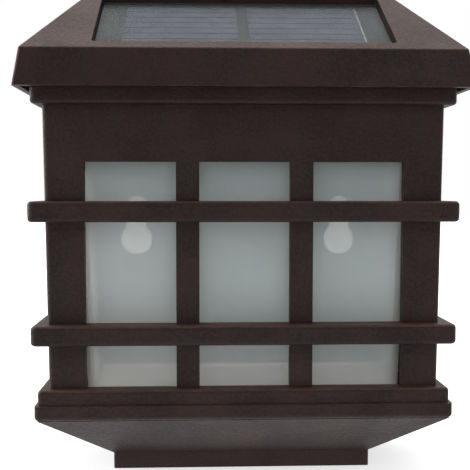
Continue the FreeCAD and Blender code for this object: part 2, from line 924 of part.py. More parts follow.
# ---------------------------------------------------------------- electronics
def circuit_board():
    """Driver board on the plate's posts."""
    board = box(board_left_x, board_right_x, board_front_y, board_back_y, board_z, board_top_z)
    depth = circuit_t + 2 * over
    holes = [
        cylinder(board_screw_r + board_hole_clear, Vector(x, y, board_z - over), depth, Z_AXIS)
        for x, y in board_posts()
    ]
    return board.cut(holes)


def board_screws():
    """Screws that hold the circuit board."""
    return Part.makeCompound([
        screw(Vector(x, y, board_top_z), DOWN, board_screw_r, board_screw_l, board_head_r, board_head_h)
        for x, y in board_posts()
    ])


def part_block(place, size):
    """Block on the board's top, centred on a place measured from the board's middle."""
    x = board_mid_x + place[0] - size[0] / 2
    y = board_mid_y + place[1] - size[1] / 2
    return box(x, x + size[0], y, y + size[1], board_top_z, board_top_z + size[2])


def part_drum(place, radius, height):
    """Upright round part on the board's top."""
    centre = Vector(board_mid_x + place[0], board_mid_y + place[1], board_top_z)
    return cylinder(radius, centre, height, Z_AXIS)


def board_parts():
    """Driver chip, coil, capacitor and chip resistors, soldered to the board's top."""
    pieces = [
        part_block(chip_place, chip_size),
        part_drum(coil_place, coil_r, coil_h),
        part_drum(capacitor_place, capacitor_r, capacitor_h),
    ]
    pieces += [part_block(place, resistor_size) for place in resistor_places]
    return Part.makeCompound(pieces)


def led_board():
    """Strip board for the light source, flat against the plate's underside."""
    return slab(led_board_half, led_board_front_y, led_board_back_y, led_board_z, collar_top_z)


def leds():
    """Row of surface-mounted light sources."""
    first = -led_pitch * (led_count - 1) / 2
    made = []
    for i in range(led_count):
        x = first + i * led_pitch
        made.append(box(
            x - led_length / 2, x + led_length / 2,
            led_mid_y - led_width / 2, led_mid_y + led_width / 2,
            led_board_z - led_h, led_board_z,
        ))
    return Part.makeCompound(made)


def led_reflector():
    """Flared white frame round the light sources, seated on the plate."""
    def level(z, grow):
        side = reflector_clear + grow
        return (z, led_board_half + side, led_board_front_y - side, led_board_back_y + side)
    low = collar_top_z - reflector_h
    outer = frustum(level(low, reflector_t + reflector_flare), level(collar_top_z, reflector_t))
    inner = frustum(level(low, reflector_flare), level(collar_top_z, 0))
    return outer.cut(inner)


# ---------------------------------------------------------------- switch
def switch_body():
    """Slide switch under the board, open towards the plate's slot."""
    middle = switch_x + switch_travel / 2
    reach = switch_length / 2
    side = switch_width / 2
    case = box(middle - reach, middle + reach, switch_y - side, switch_y + side, plate_top_z, board_z)
    reach -= switch_shell
    side -= switch_shell
    hollow = box(
        middle - reach, middle + reach, switch_y - side, switch_y + side,
        plate_top_z + switch_shell, board_z - switch_shell,
    )
    return case.cut([hollow, stem_slot(plate_top_z - over, plate_top_z + switch_shell + over)])


def centred_block(length, width, z0, z1):
    """Block centred on the slider's place."""
    x0 = switch_x - length / 2
    y0 = switch_y - width / 2
    return box(x0, x0 + length, y0, y0 + width, z0, z1)


def switch_slider():
    """Slider inside the switch, with a stem through the plate and a ribbed knob below it."""
    width = switch_width - 2 * switch_shell - 2 * switch_clear
    z0 = plate_top_z + switch_shell + switch_clear
    knob_low = knob_top_z - knob_h
    pieces = [
        centred_block(slider_length, width, z0, z0 + slider_h),
        centred_block(stem_length, stem_width, knob_top_z, z0),
        centred_block(knob_length, knob_width, knob_low, knob_top_z),
    ]
    grooves = []
    pitch = knob_length / (knob_grooves + 1)
    for i in range(knob_grooves):
        x = switch_x - knob_length / 2 + (i + 1) * pitch
        grooves.append(box(
            x - groove_width / 2, x + groove_width / 2, switch_y - knob_width, switch_y + knob_width,
            knob_low - over, knob_low + groove_depth,
        ))
    return union(pieces).cut(grooves)


# ---------------------------------------------------------------- leads
def panel_lead(x):
    """Lead from the back of the panel board, through the roof, down to the circuit board."""
    top = slope_point(x, panel_lead_v, panel_under)
    run = cylinder(lead_r, Vector(x, top.y, board_top_z), top.z - board_top_z + over, Z_AXIS)
    beyond = on_slope(slab(recess_half, recess_low, panel_high, panel_under, recess_depth))
    return run.cut(beyond)


def led_lead(x):
    """Straight lead between the two boards."""
    return cylinder(lead_r, Vector(x, led_lead_y, collar_top_z), board_z - collar_top_z, Z_AXIS)


def battery_lead():
    """Lead from the leaf contact's tab up to the underside of the circuit board."""
    tab_x = contact_places()[0] + contact_t
    start = Vector(tab_x, tray_centre_y, plate_top_z + tab_h / 2)
    end = Vector(board_left_x + battery_lead_inset, tray_centre_y, board_z)
    along = (end - start).normalize()
    run = cylinder(lead_r, start - along * over, (end - start).Length + 2 * over, along)
    at_tab = box(tray_left_x, tab_x, tray_front, tray_back, plate_top_z, board_z)
    at_board = box(board_left_x, board_right_x, tray_front, tray_back, board_z, board_z + circuit_t)
    return run.cut([at_tab, at_board])


def red_leads():
    """Positive leads of the panel and the light source."""
    return Part.makeCompound([panel_lead(panel_lead_places()[0]), led_lead(led_lead_places()[0])])


def black_leads():
    """Negative leads of the panel, the light source and the battery."""
    return Part.makeCompound([
        panel_lead(panel_lead_places()[1]), led_lead(led_lead_places()[1]), battery_lead()
    ])


# ---------------------------------------------------------------- pieces
os.makedirs("parts", exist_ok=True)

save("lantern_body", lantern_body())
save("diffuser", diffuser())
save("base_pan", base_pan())
save("base_screws", base_screws())
save("roof_cap", roof_cap())
save("panel_seal", panel_seal())
save("panel_board", panel_layer(panel_under, board_t))
save("solar_cells", solar_cells())
save("cell_bus", cell_bus())
save("panel_cover", panel_layer(cell_base + cell_t, cover_t))
save("ceiling_plate", ceiling_plate())
save("roof_gasket", gasket_strip(collar_top_z, collar_top_z + gasket_t, 0))
save("ceiling_screws", ceiling_screws())
save("battery", battery())
save("battery_contacts", battery_contacts())
save("battery_door", battery_door())
save("circuit_board", circuit_board())
save("board_screws", board_screws())
save("board_parts", board_parts())
save("led_board", led_board())
save("leds", leds())
save("led_reflector", led_reflector())
save("switch_body", switch_body())
save("switch_slider", switch_slider())
save("red_leads", red_leads())
save("black_leads", black_leads())
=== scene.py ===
"""Looks of the fence light: a solar lantern with a hipped roof over a frosted cup.

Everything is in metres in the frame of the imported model: X to the right, Y into the wall, Z up.
Sizes in the classes are written in millimetres and turned into metres where meshes are made.
"""

import json
import logging
import math
from dataclasses import dataclass
from enum import Enum
from typing import Optional, Sequence, Union

import bmesh
import bpy
import numpy as np
from mathutils import Matrix, Vector

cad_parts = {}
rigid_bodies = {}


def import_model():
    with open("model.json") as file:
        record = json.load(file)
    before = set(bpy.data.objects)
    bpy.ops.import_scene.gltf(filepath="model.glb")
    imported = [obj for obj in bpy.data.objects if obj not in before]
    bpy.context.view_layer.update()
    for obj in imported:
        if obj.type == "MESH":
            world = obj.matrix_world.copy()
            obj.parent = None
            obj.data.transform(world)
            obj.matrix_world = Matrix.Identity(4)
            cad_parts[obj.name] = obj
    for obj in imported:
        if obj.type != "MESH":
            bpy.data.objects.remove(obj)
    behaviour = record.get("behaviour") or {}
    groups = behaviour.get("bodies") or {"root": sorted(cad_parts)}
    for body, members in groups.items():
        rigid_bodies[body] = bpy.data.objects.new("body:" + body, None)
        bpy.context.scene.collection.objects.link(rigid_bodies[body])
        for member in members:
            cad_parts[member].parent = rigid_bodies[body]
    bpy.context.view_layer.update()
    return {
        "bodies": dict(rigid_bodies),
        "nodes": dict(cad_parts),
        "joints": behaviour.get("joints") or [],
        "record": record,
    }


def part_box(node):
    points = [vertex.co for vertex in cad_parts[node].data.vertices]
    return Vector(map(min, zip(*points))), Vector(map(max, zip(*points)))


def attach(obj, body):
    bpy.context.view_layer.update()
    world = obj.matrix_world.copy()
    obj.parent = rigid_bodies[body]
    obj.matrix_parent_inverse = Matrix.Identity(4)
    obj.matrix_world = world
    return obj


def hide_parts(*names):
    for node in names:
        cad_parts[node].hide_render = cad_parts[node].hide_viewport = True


LOG = logging.getLogger("fence_light")
MM = 0.001
SMOOTH_BELOW = math.radians(35.0)
FLAT_BELOW = math.radians(0.4)
PANEL_SLOPE_DEG = 33.0
Colour = tuple[float, float, float]
Socket = bpy.types.NodeSocket
Value = Union[float, Sequence[float], Socket]


def srgb(red: int, green: int, blue: int) -> Colour:
    """Turns a colour on the 0 to 255 screen scale into linear light."""
    screen = np.array((red, green, blue)) / 255.0
    linear = np.where(screen <= 0.04045, screen / 12.92, ((screen + 0.055) / 1.055) ** 2.4)
    return tuple(float(v) for v in linear)


# ---- node graphs
class Graph:
    """A node tree being built, with short calls for the nodes that the finishes use."""

    def __init__(self, tree: bpy.types.NodeTree) -> None:
        """Keeps the tree."""
        self.tree = tree

    def node(self, kind: str, **settings: object) -> bpy.types.Node:
        """Adds a node and sets its properties."""
        made = self.tree.nodes.new(kind)
        for name, value in settings.items():
            setattr(made, name, value)
        return made

    def put(self, socket: Socket, value: Value) -> None:
        """Links a socket, or sets its constant."""
        if isinstance(value, bpy.types.NodeSocket):
            self.tree.links.new(value, socket)
        elif socket.type == "RGBA" and len(value) == 3:
            socket.default_value = (*value, 1.0)
        else:
            socket.default_value = value

    def math(self, operation: str, first: Value, second: Value = 0.0, clamp: bool = False) -> Socket:
        """Adds a Math node."""
        made = self.node("ShaderNodeMath", operation=operation, use_clamp=clamp)
        self.put(made.inputs[0], first)
        self.put(made.inputs[1], second)
        return made.outputs[0]

    def add(self, first: Value, second: Value, clamp: bool = False) -> Socket:
        """Sum of two values."""
        return self.math("ADD", first, second, clamp)

    def times(self, first: Value, second: Value, clamp: bool = False) -> Socket:
        """Product of two values."""
        return self.math("MULTIPLY", first, second, clamp)

    def mix(self, share: Value, first: Value, second: Value) -> Socket:
        """Adds a colour Mix node."""
        made = self.node("ShaderNodeMix", data_type="RGBA")
        self.put(made.inputs["Factor"], share)
        self.put(made.inputs[6], first)
        self.put(made.inputs[7], second)
        return made.outputs[2]

    def span(self, value: Value, low: float, high: float, start: float = 0.0, end: float = 1.0) -> Socket:
        """Maps the range low to high to start to end, smoothly and without leaving it."""
        made = self.node("ShaderNodeMapRange", interpolation_type="SMOOTHSTEP")
        for place, item in enumerate((value, low, high, start, end)):
            self.put(made.inputs[place], item)
        return made.outputs[0]

    def noise(self, vector: Socket, scale: Value, detail: float = 2.0, rough: float = 0.5) -> Socket:
        """Adds a Noise texture."""
        made = self.node("ShaderNodeTexNoise")
        self.put(made.inputs["Vector"], vector)
        self.put(made.inputs["Scale"], scale)
        self.put(made.inputs["Detail"], detail)
        self.put(made.inputs["Roughness"], rough)
        return made.outputs["Fac"]

    def cells(self, vector: Socket, scale: Value, feature: str = "F1", output: str = "Distance") -> Socket:
        """Adds a Voronoi texture."""
        made = self.node("ShaderNodeTexVoronoi", feature=feature)
        self.put(made.inputs["Vector"], vector)
        self.put(made.inputs["Scale"], scale)
        return made.outputs[output]

    def bump(self, height: Value, depth_mm: float, strength: float = 1.0) -> Socket:
        """Adds a Bump node."""
        made = self.node("ShaderNodeBump")
        self.put(made.inputs["Strength"], strength)
        self.put(made.inputs["Distance"], depth_mm * MM)
        self.put(made.inputs["Height"], height)
        return made.outputs["Normal"]

    def place(self, turn_deg: float = 0.0, about: int = 0) -> Socket:
        """Object coordinates, turned about one axis."""
        source = self.node("ShaderNodeTexCoord").outputs["Object"]
        if turn_deg == 0.0:
            return source
        mapping = self.node("ShaderNodeMapping")
        self.put(mapping.inputs["Vector"], source)
        turn = [0.0, 0.0, 0.0]
        turn[about] = math.radians(turn_deg)
        mapping.inputs["Rotation"].default_value = turn
        return mapping.outputs["Vector"]

    def split(self, vector: Socket) -> tuple[Socket, Socket, Socket]:
        """The three parts of a vector."""
        made = self.node("ShaderNodeSeparateXYZ")
        self.put(made.inputs[0], vector)
        return made.outputs[0], made.outputs[1], made.outputs[2]

    def stripe(self, along: Socket, pitch_mm: float, width_mm: float, shift_mm: float = 0.0) -> Socket:
        """Mask that is 1 on lines of a width, repeated at a pitch across a coordinate in metres."""
        place = self.math("SUBTRACT", along, (shift_mm - pitch_mm / 2) * MM)
        turn = self.math("FLOORED_MODULO", place, pitch_mm * MM)
        off = self.math("ABSOLUTE", self.math("SUBTRACT", turn, pitch_mm * MM / 2))
        return self.math("LESS_THAN", off, width_mm * MM / 2)


class MaterialGraph(Graph):
    """The graph of one material, with its output."""

    def __init__(self, name: str) -> None:
        """Makes an empty material."""
        self.material = bpy.data.materials.new(name)
        self.material.use_nodes = True
        self.material.node_tree.nodes.clear()
        super().__init__(self.material.node_tree)
        self.out = self.node("ShaderNodeOutputMaterial")

    def principled(self, **inputs: Value) -> Socket:
        """Adds a Principled shader."""
        made = self.node("ShaderNodeBsdfPrincipled")
        for name, value in inputs.items():
            self.put(made.inputs[name.replace("_", " ")], value)
        return made.outputs[0]

    def shader(self, kind: str, **inputs: Value) -> Socket:
        """Adds any other shader node."""
        made = self.node("ShaderNode" + kind)
        for name, value in inputs.items():
            self.put(made.inputs[name], value)
        return made.outputs[0]

    def blend(self, share: Value, first: Socket, second: Socket) -> Socket:
        """Mixes two shaders."""
        made = self.node("ShaderNodeMixShader")
        self.put(made.inputs[0], share)
        self.put(made.inputs[1], first)
        self.put(made.inputs[2], second)
        return made.outputs[0]

    def finish(self, surface: Socket) -> bpy.types.Material:
        """Puts a shader on the output and gives the material."""
        self.put(self.out.inputs["Surface"], surface)
        return self.material


# ---- shared effects
class Effects:
    """Node groups shared by several finishes, each made once."""

    _made: dict[str, bpy.types.NodeTree] = {}

    @classmethod
    def _start(
        cls, name: str, inputs: dict[str, float], outputs: Sequence[str],
    ) -> tuple[Graph, dict[str, Socket], bpy.types.Node]:
        """Begins a group.

        Args:
            name: the group's name.
            inputs: number inputs and their defaults.
            outputs: names of the number outputs.

        Returns:
            Its graph, its inputs by name, and its output node.
        """
        tree = bpy.data.node_groups.new(name, "ShaderNodeTree")
        tree.interface.new_socket("Place", in_out="INPUT", socket_type="NodeSocketVector")
        for label, default in inputs.items():
            socket = tree.interface.new_socket(label, in_out="INPUT", socket_type="NodeSocketFloat")
            socket.default_value = default
        for label in outputs:
            tree.interface.new_socket(label, in_out="OUTPUT", socket_type="NodeSocketFloat")
        cls._made[name] = tree
        graph = Graph(tree)
        entry = graph.node("NodeGroupInput")
        return graph, {s.name: s for s in entry.outputs if s.name}, graph.node("NodeGroupOutput")

    @classmethod
    def _grain(cls) -> bpy.types.NodeTree:
        """Spark-eroded grain: pebbles of two sizes, and slow mottling from the melt's flow."""
        graph, given, out = cls._start("mould_grain", {"Pebbles": 2400.0}, ("Height", "Speckle", "Mottle"))
        fine = graph.noise(given["Place"], given["Pebbles"], 3.0, 0.6)
        pit = graph.cells(given["Place"], graph.times(given["Pebbles"], 0.6), "SMOOTH_F1")
        height = graph.add(graph.times(fine, 0.6), graph.times(pit, 0.5))
        graph.put(out.inputs["Height"], height)
        graph.put(out.inputs["Speckle"], graph.span(fine, 0.34, 0.68))
        graph.put(out.inputs["Mottle"], graph.span(graph.noise(given["Place"], 55.0, 4.0, 0.55), 0.3, 0.7))
        return cls._made["mould_grain"]

    @classmethod
    def _rub_and_highlight(cls) -> bpy.types.NodeTree:
        """Rubbed edges with a painted highlight: the mesh's own edge mask, broken up by patches."""
        graph, given, out = cls._start("edge_rub_and_highlight", {"Patches": 140.0}, ("RubAndHighlight",))
        mask = graph.node("ShaderNodeAttribute", attribute_name="edge").outputs["Fac"]
        patches = graph.span(graph.noise(given["Place"], given["Patches"], 5.0, 0.7), 0.38, 0.66)
        graph.put(out.inputs["RubAndHighlight"], graph.times(mask, patches, clamp=True))
        return cls._made["edge_rub_and_highlight"]

    @classmethod
    def _dust(cls) -> bpy.types.NodeTree:
        """Dust: fine specks and a thin film that lie on faces that look up."""
        graph, given, out = cls._start("settled_dust", {"Amount": 0.5}, ("Dust",))
        normal = graph.node("ShaderNodeNewGeometry").outputs["Normal"]
        up = graph.span(graph.split(normal)[2], 0.25, 0.95)
        film = graph.span(graph.noise(given["Place"], 260.0, 6.0, 0.7), 0.42, 0.75)
        specks = graph.span(graph.cells(given["Place"], 900.0), 0.3, 0.1)
        film = graph.add(graph.times(film, 0.25), 0.3)
        both = graph.add(film, graph.times(specks, 0.35), clamp=True)
        graph.put(out.inputs["Dust"], graph.times(graph.times(up, both), given["Amount"]))
        return cls._made["settled_dust"]

    @classmethod
    def _brush(cls) -> bpy.types.NodeTree:
        """Fine drawn lines of rolled or plated metal, stretched along X."""
        graph, given, out = cls._start("drawn_lines", {"Lines": 900.0}, ("Lines",))
        stretch = graph.node("ShaderNodeVectorMath", operation="MULTIPLY")
        graph.put(stretch.inputs[0], given["Place"])
        graph.put(stretch.inputs[1], (0.06, 1.0, 1.0))
        graph.put(out.inputs["Lines"], graph.noise(stretch.outputs[0], given["Lines"], 3.0, 0.65))
        return cls._made["drawn_lines"]

    @classmethod
    def use(cls, graph: Graph, name: str, place: Socket, **values: float) -> dict[str, Socket]:
        """Places a group in a material.

        Args:
            graph: the material's graph.
            name: mould_grain, edge_rub_and_highlight, settled_dust or drawn_lines.
            place: coordinates that it reads.
            values: its other inputs.

        Returns:
            Its outputs by name.
        """
        makers = {
            "mould_grain": cls._grain, "edge_rub_and_highlight": cls._rub_and_highlight, "settled_dust": cls._dust, "drawn_lines": cls._brush,
        }
        tree = cls._made.get(name) or makers[name]()
        made = graph.node("ShaderNodeGroup", node_tree=tree)
        graph.put(made.inputs["Place"], place)
        for label, value in values.items():
            graph.put(made.inputs[label], value)
        return {s.name: s for s in made.outputs}


# ---- finishes
@dataclass(frozen=True)
class MouldedPlastic:
    """Injection-moulded plastic with a pebbled grain, rubbed edges that also carry a painted highlight, and a little
    dust.
    """

    name: str
    colour: Colour
    light: Colour
    # lighter colour of the broken edges: rubbing, and in part a painted highlight
    rub_and_highlight: Colour
    roughness: float = 0.5
    grain_mm: float = 0.05
    pebbles: float = 2400.0
    dust: float = 0.3
    specular: float = 0.5

    def material(self) -> bpy.types.Material:
        """The finish as a material."""
        graph = MaterialGraph(self.name)
        place = graph.place()
        grain = Effects.use(graph, "mould_grain", place, Pebbles=self.pebbles)
        rub_and_highlight = Effects.use(graph, "edge_rub_and_highlight", place)["RubAndHighlight"]
        dust = Effects.use(graph, "settled_dust", place, Amount=self.dust)["Dust"]
        tone = graph.add(graph.times(grain["Speckle"], 0.55), graph.times(grain["Mottle"], 0.45))
        colour = graph.mix(tone, self.colour, self.light)
        # The broken edges are lightened towards this colour: rubbing, and in part a painted highlight.
        colour = graph.mix(graph.times(rub_and_highlight, 0.5), colour, self.rub_and_highlight)
        colour = graph.mix(dust, colour, srgb(166, 128, 110))
        rough = graph.span(tone, 0.0, 1.0, self.roughness + 0.06, self.roughness - 0.05)
        rough = graph.math("SUBTRACT", rough, graph.times(rub_and_highlight, 0.1))
        rough = graph.add(rough, graph.times(dust, 0.3), clamp=True)
        return graph.finish(graph.principled(
            Base_Color=colour, Roughness=rough, Specular_IOR_Level=graph.span(dust, 0.0, 0.5, self.specular, 0.12),
            Normal=graph.bump(grain["Height"], self.grain_mm),
        ))


@dataclass(frozen=True)
class FrostedPlastic:
    """Milky light-spreading plastic: a haze over what is behind it, with painted light on its floor and painted
    shade at its top and bottom ends.
    """

    name: str = "frosted"
    haze: Colour = srgb(226, 241, 246)
    # whiter, warmer colour of the light let through, and of the floor, where it is painted light falling through the
    # windows
    through_and_floor_light: Colour = srgb(255, 245, 238)
    front_clear: float = 0.6
    back_clear: float = 0.46
    # extra see-through share at the top and bottom ends, so the dark housing shows there: painted shade
    ends_shade_clear: float = 0.12
    floor_z: float = -44.6
    middle_y: float = -30.0

    def material(self) -> bpy.types.Material:
        """The finish as a material."""
        graph = MaterialGraph(self.name)
        place = graph.place()
        fine = graph.noise(place, 1500.0, 3.0, 0.6)
        cloud = graph.span(graph.noise(place, 40.0, 3.0, 0.5), 0.3, 0.7)
        _, deep, height = graph.split(place)
        raised = graph.span(height, (self.floor_z - 1.4) * MM, self.floor_z * MM)
        haze = graph.mix(cloud, self.haze, tuple(0.94 * v for v in self.haze))
        # Below floor_z the cup takes the whiter, warmer colour: painted light in place of light falling on the floor
        # through the windows.
        haze = graph.mix(raised, self.through_and_floor_light, haze)
        skin = graph.principled(
            Base_Color=haze, Roughness=graph.span(fine, 0.3, 0.7, 0.32, 0.46), Normal=graph.bump(fine, 0.012),
        )
        through = graph.shader("BsdfTranslucent", Color=self.through_and_floor_light)
        window = graph.shader("BsdfTransparent", Color=(0.99, 0.99, 0.98))
        back = graph.span(deep, (self.middle_y - 20.0) * MM, (self.middle_y + 22.0) * MM)
        spread = graph.math("SUBTRACT", 0.5, graph.times(back, 0.35))
        milk = graph.blend(graph.times(raised, spread), skin, through)
        wall = graph.span(back, 0.0, 1.0, self.front_clear, self.back_clear)
        # More see-through towards the top and bottom ends, so the dark inside shows: painted shade from the roof and
        # the rails.
        ends = graph.span(graph.math("ABSOLUTE", height), 8.0 * MM, 26.0 * MM, 0.0, self.ends_shade_clear)
        wall = graph.add(wall, ends)
        share = graph.times(raised, wall)
        return graph.finish(graph.blend(share, milk, window))


@dataclass(frozen=True)
class CastCover:
    """Clear resin cast over the cells: gloss by angle, a faint haze, and the cells below."""

    name: str = "clear_cast"
    haze: Colour = srgb(190, 196, 200)
    hazy: float = 0.03
    gloss: float = 0.2

    def material(self) -> bpy.types.Material:
        """The finish as a material."""
        graph = MaterialGraph(self.name)
        place = graph.place()
        wave = graph.noise(place, 90.0, 3.0, 0.5)
        fine = graph.noise(place, 1800.0, 2.0, 0.5)
        normal = graph.bump(wave, 0.02)
        rough = graph.span(fine, 0.3, 0.7, 0.2, 0.3)
        gloss = graph.shader("BsdfAnisotropic", Color=(1.0, 1.0, 1.0), Roughness=rough, Normal=normal)
        clear = graph.shader("BsdfTransparent", Color=(0.96, 0.97, 0.97))
        veil = graph.shader("BsdfDiffuse", Color=self.haze)
        angle = graph.node("ShaderNodeFresnel")
        graph.put(angle.inputs["IOR"], 1.5)
        outside = graph.math("SUBTRACT", 1.0, graph.node("ShaderNodeNewGeometry").outputs["Backfacing"])
        body = graph.blend(graph.times(outside, self.hazy), clear, veil)
        mirror = graph.times(graph.times(angle.outputs[0], outside), self.gloss)
        return graph.finish(graph.blend(mirror, body, gloss))


@dataclass(frozen=True)
class CellSilicon:
    """Polycrystalline silicon with printed silver fingers and two wide lines across them."""

    name: str = "cell"
    dark: Colour = srgb(46, 50, 65)
    pale: Colour = srgb(54, 59, 76)
    silver: Colour = srgb(92, 98, 106)
    seam: Colour = srgb(18, 20, 28)

    def material(self) -> bpy.types.Material:
        """The finish as a material."""
        graph = MaterialGraph(self.name)
        place = graph.place(-PANEL_SLOPE_DEG)
        across, up, _ = graph.split(place)
        crystal = graph.node("ShaderNodeTexVoronoi")
        graph.put(crystal.inputs["Vector"], place)
        graph.put(crystal.inputs["Scale"], 260.0)
        tone = graph.times(graph.split(crystal.outputs["Color"])[0], 0.8)
        colour = graph.mix(tone, self.dark, self.pale)
        fingers = graph.times(graph.stripe(across, 1.6, 0.14), 0.3)
        lines = graph.stripe(up, 2.195, 0.22, 1.1)
        metal = graph.math("MAXIMUM", fingers, graph.times(lines, 0.1), clamp=True)
        colour = graph.mix(metal, colour, self.silver)
        colour = graph.mix(graph.times(lines, 0.45), colour, self.seam)
        return graph.finish(graph.principled(
            Base_Color=colour, Metallic=graph.times(metal, 0.4), Specular_IOR_Level=0.2,
            Roughness=graph.span(tone, 0.0, 0.8, 0.46, 0.4), Normal=graph.bump(metal, 0.004),
        ))


class MetalKind(Enum):
    """Metals on the small parts: colour of the metal and its roughness."""

    ZINC = ((0.56, 0.57, 0.58), 0.34)
    NICKEL = ((0.66, 0.63, 0.57), 0.26)
    TIN = ((0.26, 0.265, 0.27), 0.46)
    SOLDER = ((0.62, 0.62, 0.61), 0.36)
    COPPER = ((0.72, 0.34, 0.19), 0.30)


@dataclass(frozen=True)
class PlatedMetal:
    """Plated metal with drawn lines and dull patches."""

    name: str
    kind: MetalKind

    def material(self) -> bpy.types.Material:
        """The finish as a material."""
        graph = MaterialGraph(self.name)
        place = graph.place()
        base, rough = self.kind.value
        lines = Effects.use(graph, "drawn_lines", place, Lines=2200.0)["Lines"]
        dull = graph.span(graph.noise(place, 420.0, 4.0, 0.6), 0.4, 0.7)
        colour = graph.mix(graph.times(dull, 0.6), base, tuple(0.55 * v for v in base))
        roughness = graph.add(graph.span(dull, 0.0, 1.0, rough - 0.06, rough + 0.16), graph.times(lines, 0.08))
        return graph.finish(graph.principled(
            Base_Color=colour, Metallic=1.0, Roughness=roughness, Normal=graph.bump(lines, 0.008),
        ))


@dataclass(frozen=True)
class SolderMask:
    """Green solder mask over copper tracks, with tinned rows of pads on a square pitch."""

    name: str = "circuit"
    mask: Colour = srgb(18, 92, 52)
    track: Colour = srgb(34, 124, 66)
    pad: Colour = srgb(196, 190, 172)

    def material(self) -> bpy.types.Material:
        """The finish as a material."""
        graph = MaterialGraph(self.name)
        place = graph.place()
        across, deep, _ = graph.split(place)
        blocks = graph.cells(place, 190.0, "F1", "Distance")
        wander = graph.times(graph.noise(place, 110.0, 0.0), 0.004)
        runs_x = graph.stripe(graph.add(across, wander), 2.54, 0.5)
        runs_y = graph.stripe(graph.add(deep, wander), 2.54, 0.45, 0.8)
        tracks = graph.mix(graph.math("GREATER_THAN", blocks, 0.45), runs_x, runs_y)
        weave = graph.noise(place, 2600.0, 2.0, 0.4)
        colour = graph.mix(tracks, self.mask, self.track)
        colour = graph.mix(graph.times(weave, 0.25), colour, tuple(0.5 * v for v in self.mask))
        dots = graph.times(graph.stripe(across, 5.08, 0.7, 1.3), graph.stripe(deep, 5.08, 0.7, 1.3))
        colour = graph.mix(dots, colour, self.pad)
        height = graph.add(tracks, graph.times(weave, 0.3))
        return graph.finish(graph.principled(
            Base_Color=colour, Metallic=graph.times(dots, 0.9), Normal=graph.bump(height, 0.03),
            Roughness=graph.span(weave, 0.2, 0.8, 0.28, 0.4),
        ))


@dataclass(frozen=True)
class SmoothFinish:
    """Smooth coloured plastic, rubber or film with a slow change of tone and a fine skin."""

    name: str
    colour: Colour
    second: Colour
    roughness: float = 0.35
    patches: float = 160.0
    skin: float = 1800.0
    skin_mm: float = 0.01

    def material(self) -> bpy.types.Material:
        """The finish as a material."""
        graph = MaterialGraph(self.name)
        place = graph.place()
        slow = graph.span(graph.noise(place, self.patches, 4.0, 0.6), 0.3, 0.7)
        fine = graph.noise(place, self.skin, 3.0, 0.6)
        rub_and_highlight = Effects.use(graph, "edge_rub_and_highlight", place)["RubAndHighlight"]
        colour = graph.mix(slow, self.colour, self.second)
        # Lighter colour on the broken edges: rubbing, and in part a painted highlight.
        rubbed = tuple(min(1.0, 1.4 * v + 0.02) for v in self.second)
        colour = graph.mix(graph.times(rub_and_highlight, 0.25), colour, rubbed)
        return graph.finish(graph.principled(
            Base_Color=colour, Roughness=graph.span(fine, 0.25, 0.75, self.roughness - 0.05, self.roughness + 0.08),
            Normal=graph.bump(fine, self.skin_mm),
        ))


@dataclass(frozen=True)
class PanelLaminate:
    """Grey-green laminate of the solar panel's board, with its glass weave showing."""

    name: str = "panel_board"
    colour: Colour = srgb(40, 44, 43)
    weave: Colour = srgb(50, 55, 53)

    def material(self) -> bpy.types.Material:
        """The finish as a material."""
        graph = MaterialGraph(self.name)
        place = graph.place(-PANEL_SLOPE_DEG)
        across, up, _ = graph.split(place)
        threads = graph.math("MAXIMUM", graph.stripe(across, 0.9, 0.4), graph.stripe(up, 0.9, 0.4))
        slow = graph.noise(place, 120.0, 4.0, 0.6)
        colour = graph.mix(graph.times(threads, 0.4), self.colour, self.weave)
        colour = graph.mix(graph.times(slow, 0.3), colour, tuple(0.6 * v for v in self.colour))
        return graph.finish(graph.principled(
            Base_Color=colour, Roughness=graph.span(slow, 0.3, 0.7, 0.45, 0.6), Specular_IOR_Level=0.2,
            Normal=graph.bump(threads, 0.01),
        ))


@dataclass(frozen=True)
class Phosphor:
    """Light source package: white case with a yellow phosphor window in its middle."""

    name: str = "led"
    case: Colour = srgb(236, 234, 224)
    window: Colour = srgb(236, 206, 78)

    def material(self) -> bpy.types.Material:
        """The finish as a material."""
        graph = MaterialGraph(self.name)
        place = graph.place()
        mask = graph.node("ShaderNodeAttribute", attribute_name="window").outputs["Fac"]
        fine = graph.noise(place, 5200.0, 3.0, 0.6)
        colour = graph.mix(mask, self.case, self.window)
        colour = graph.mix(graph.times(fine, 0.2), colour, srgb(200, 180, 120))
        return graph.finish(graph.principled(
            Base_Color=colour, Roughness=graph.span(fine, 0.3, 0.7, 0.25, 0.45), Normal=graph.bump(fine, 0.006),
        ))


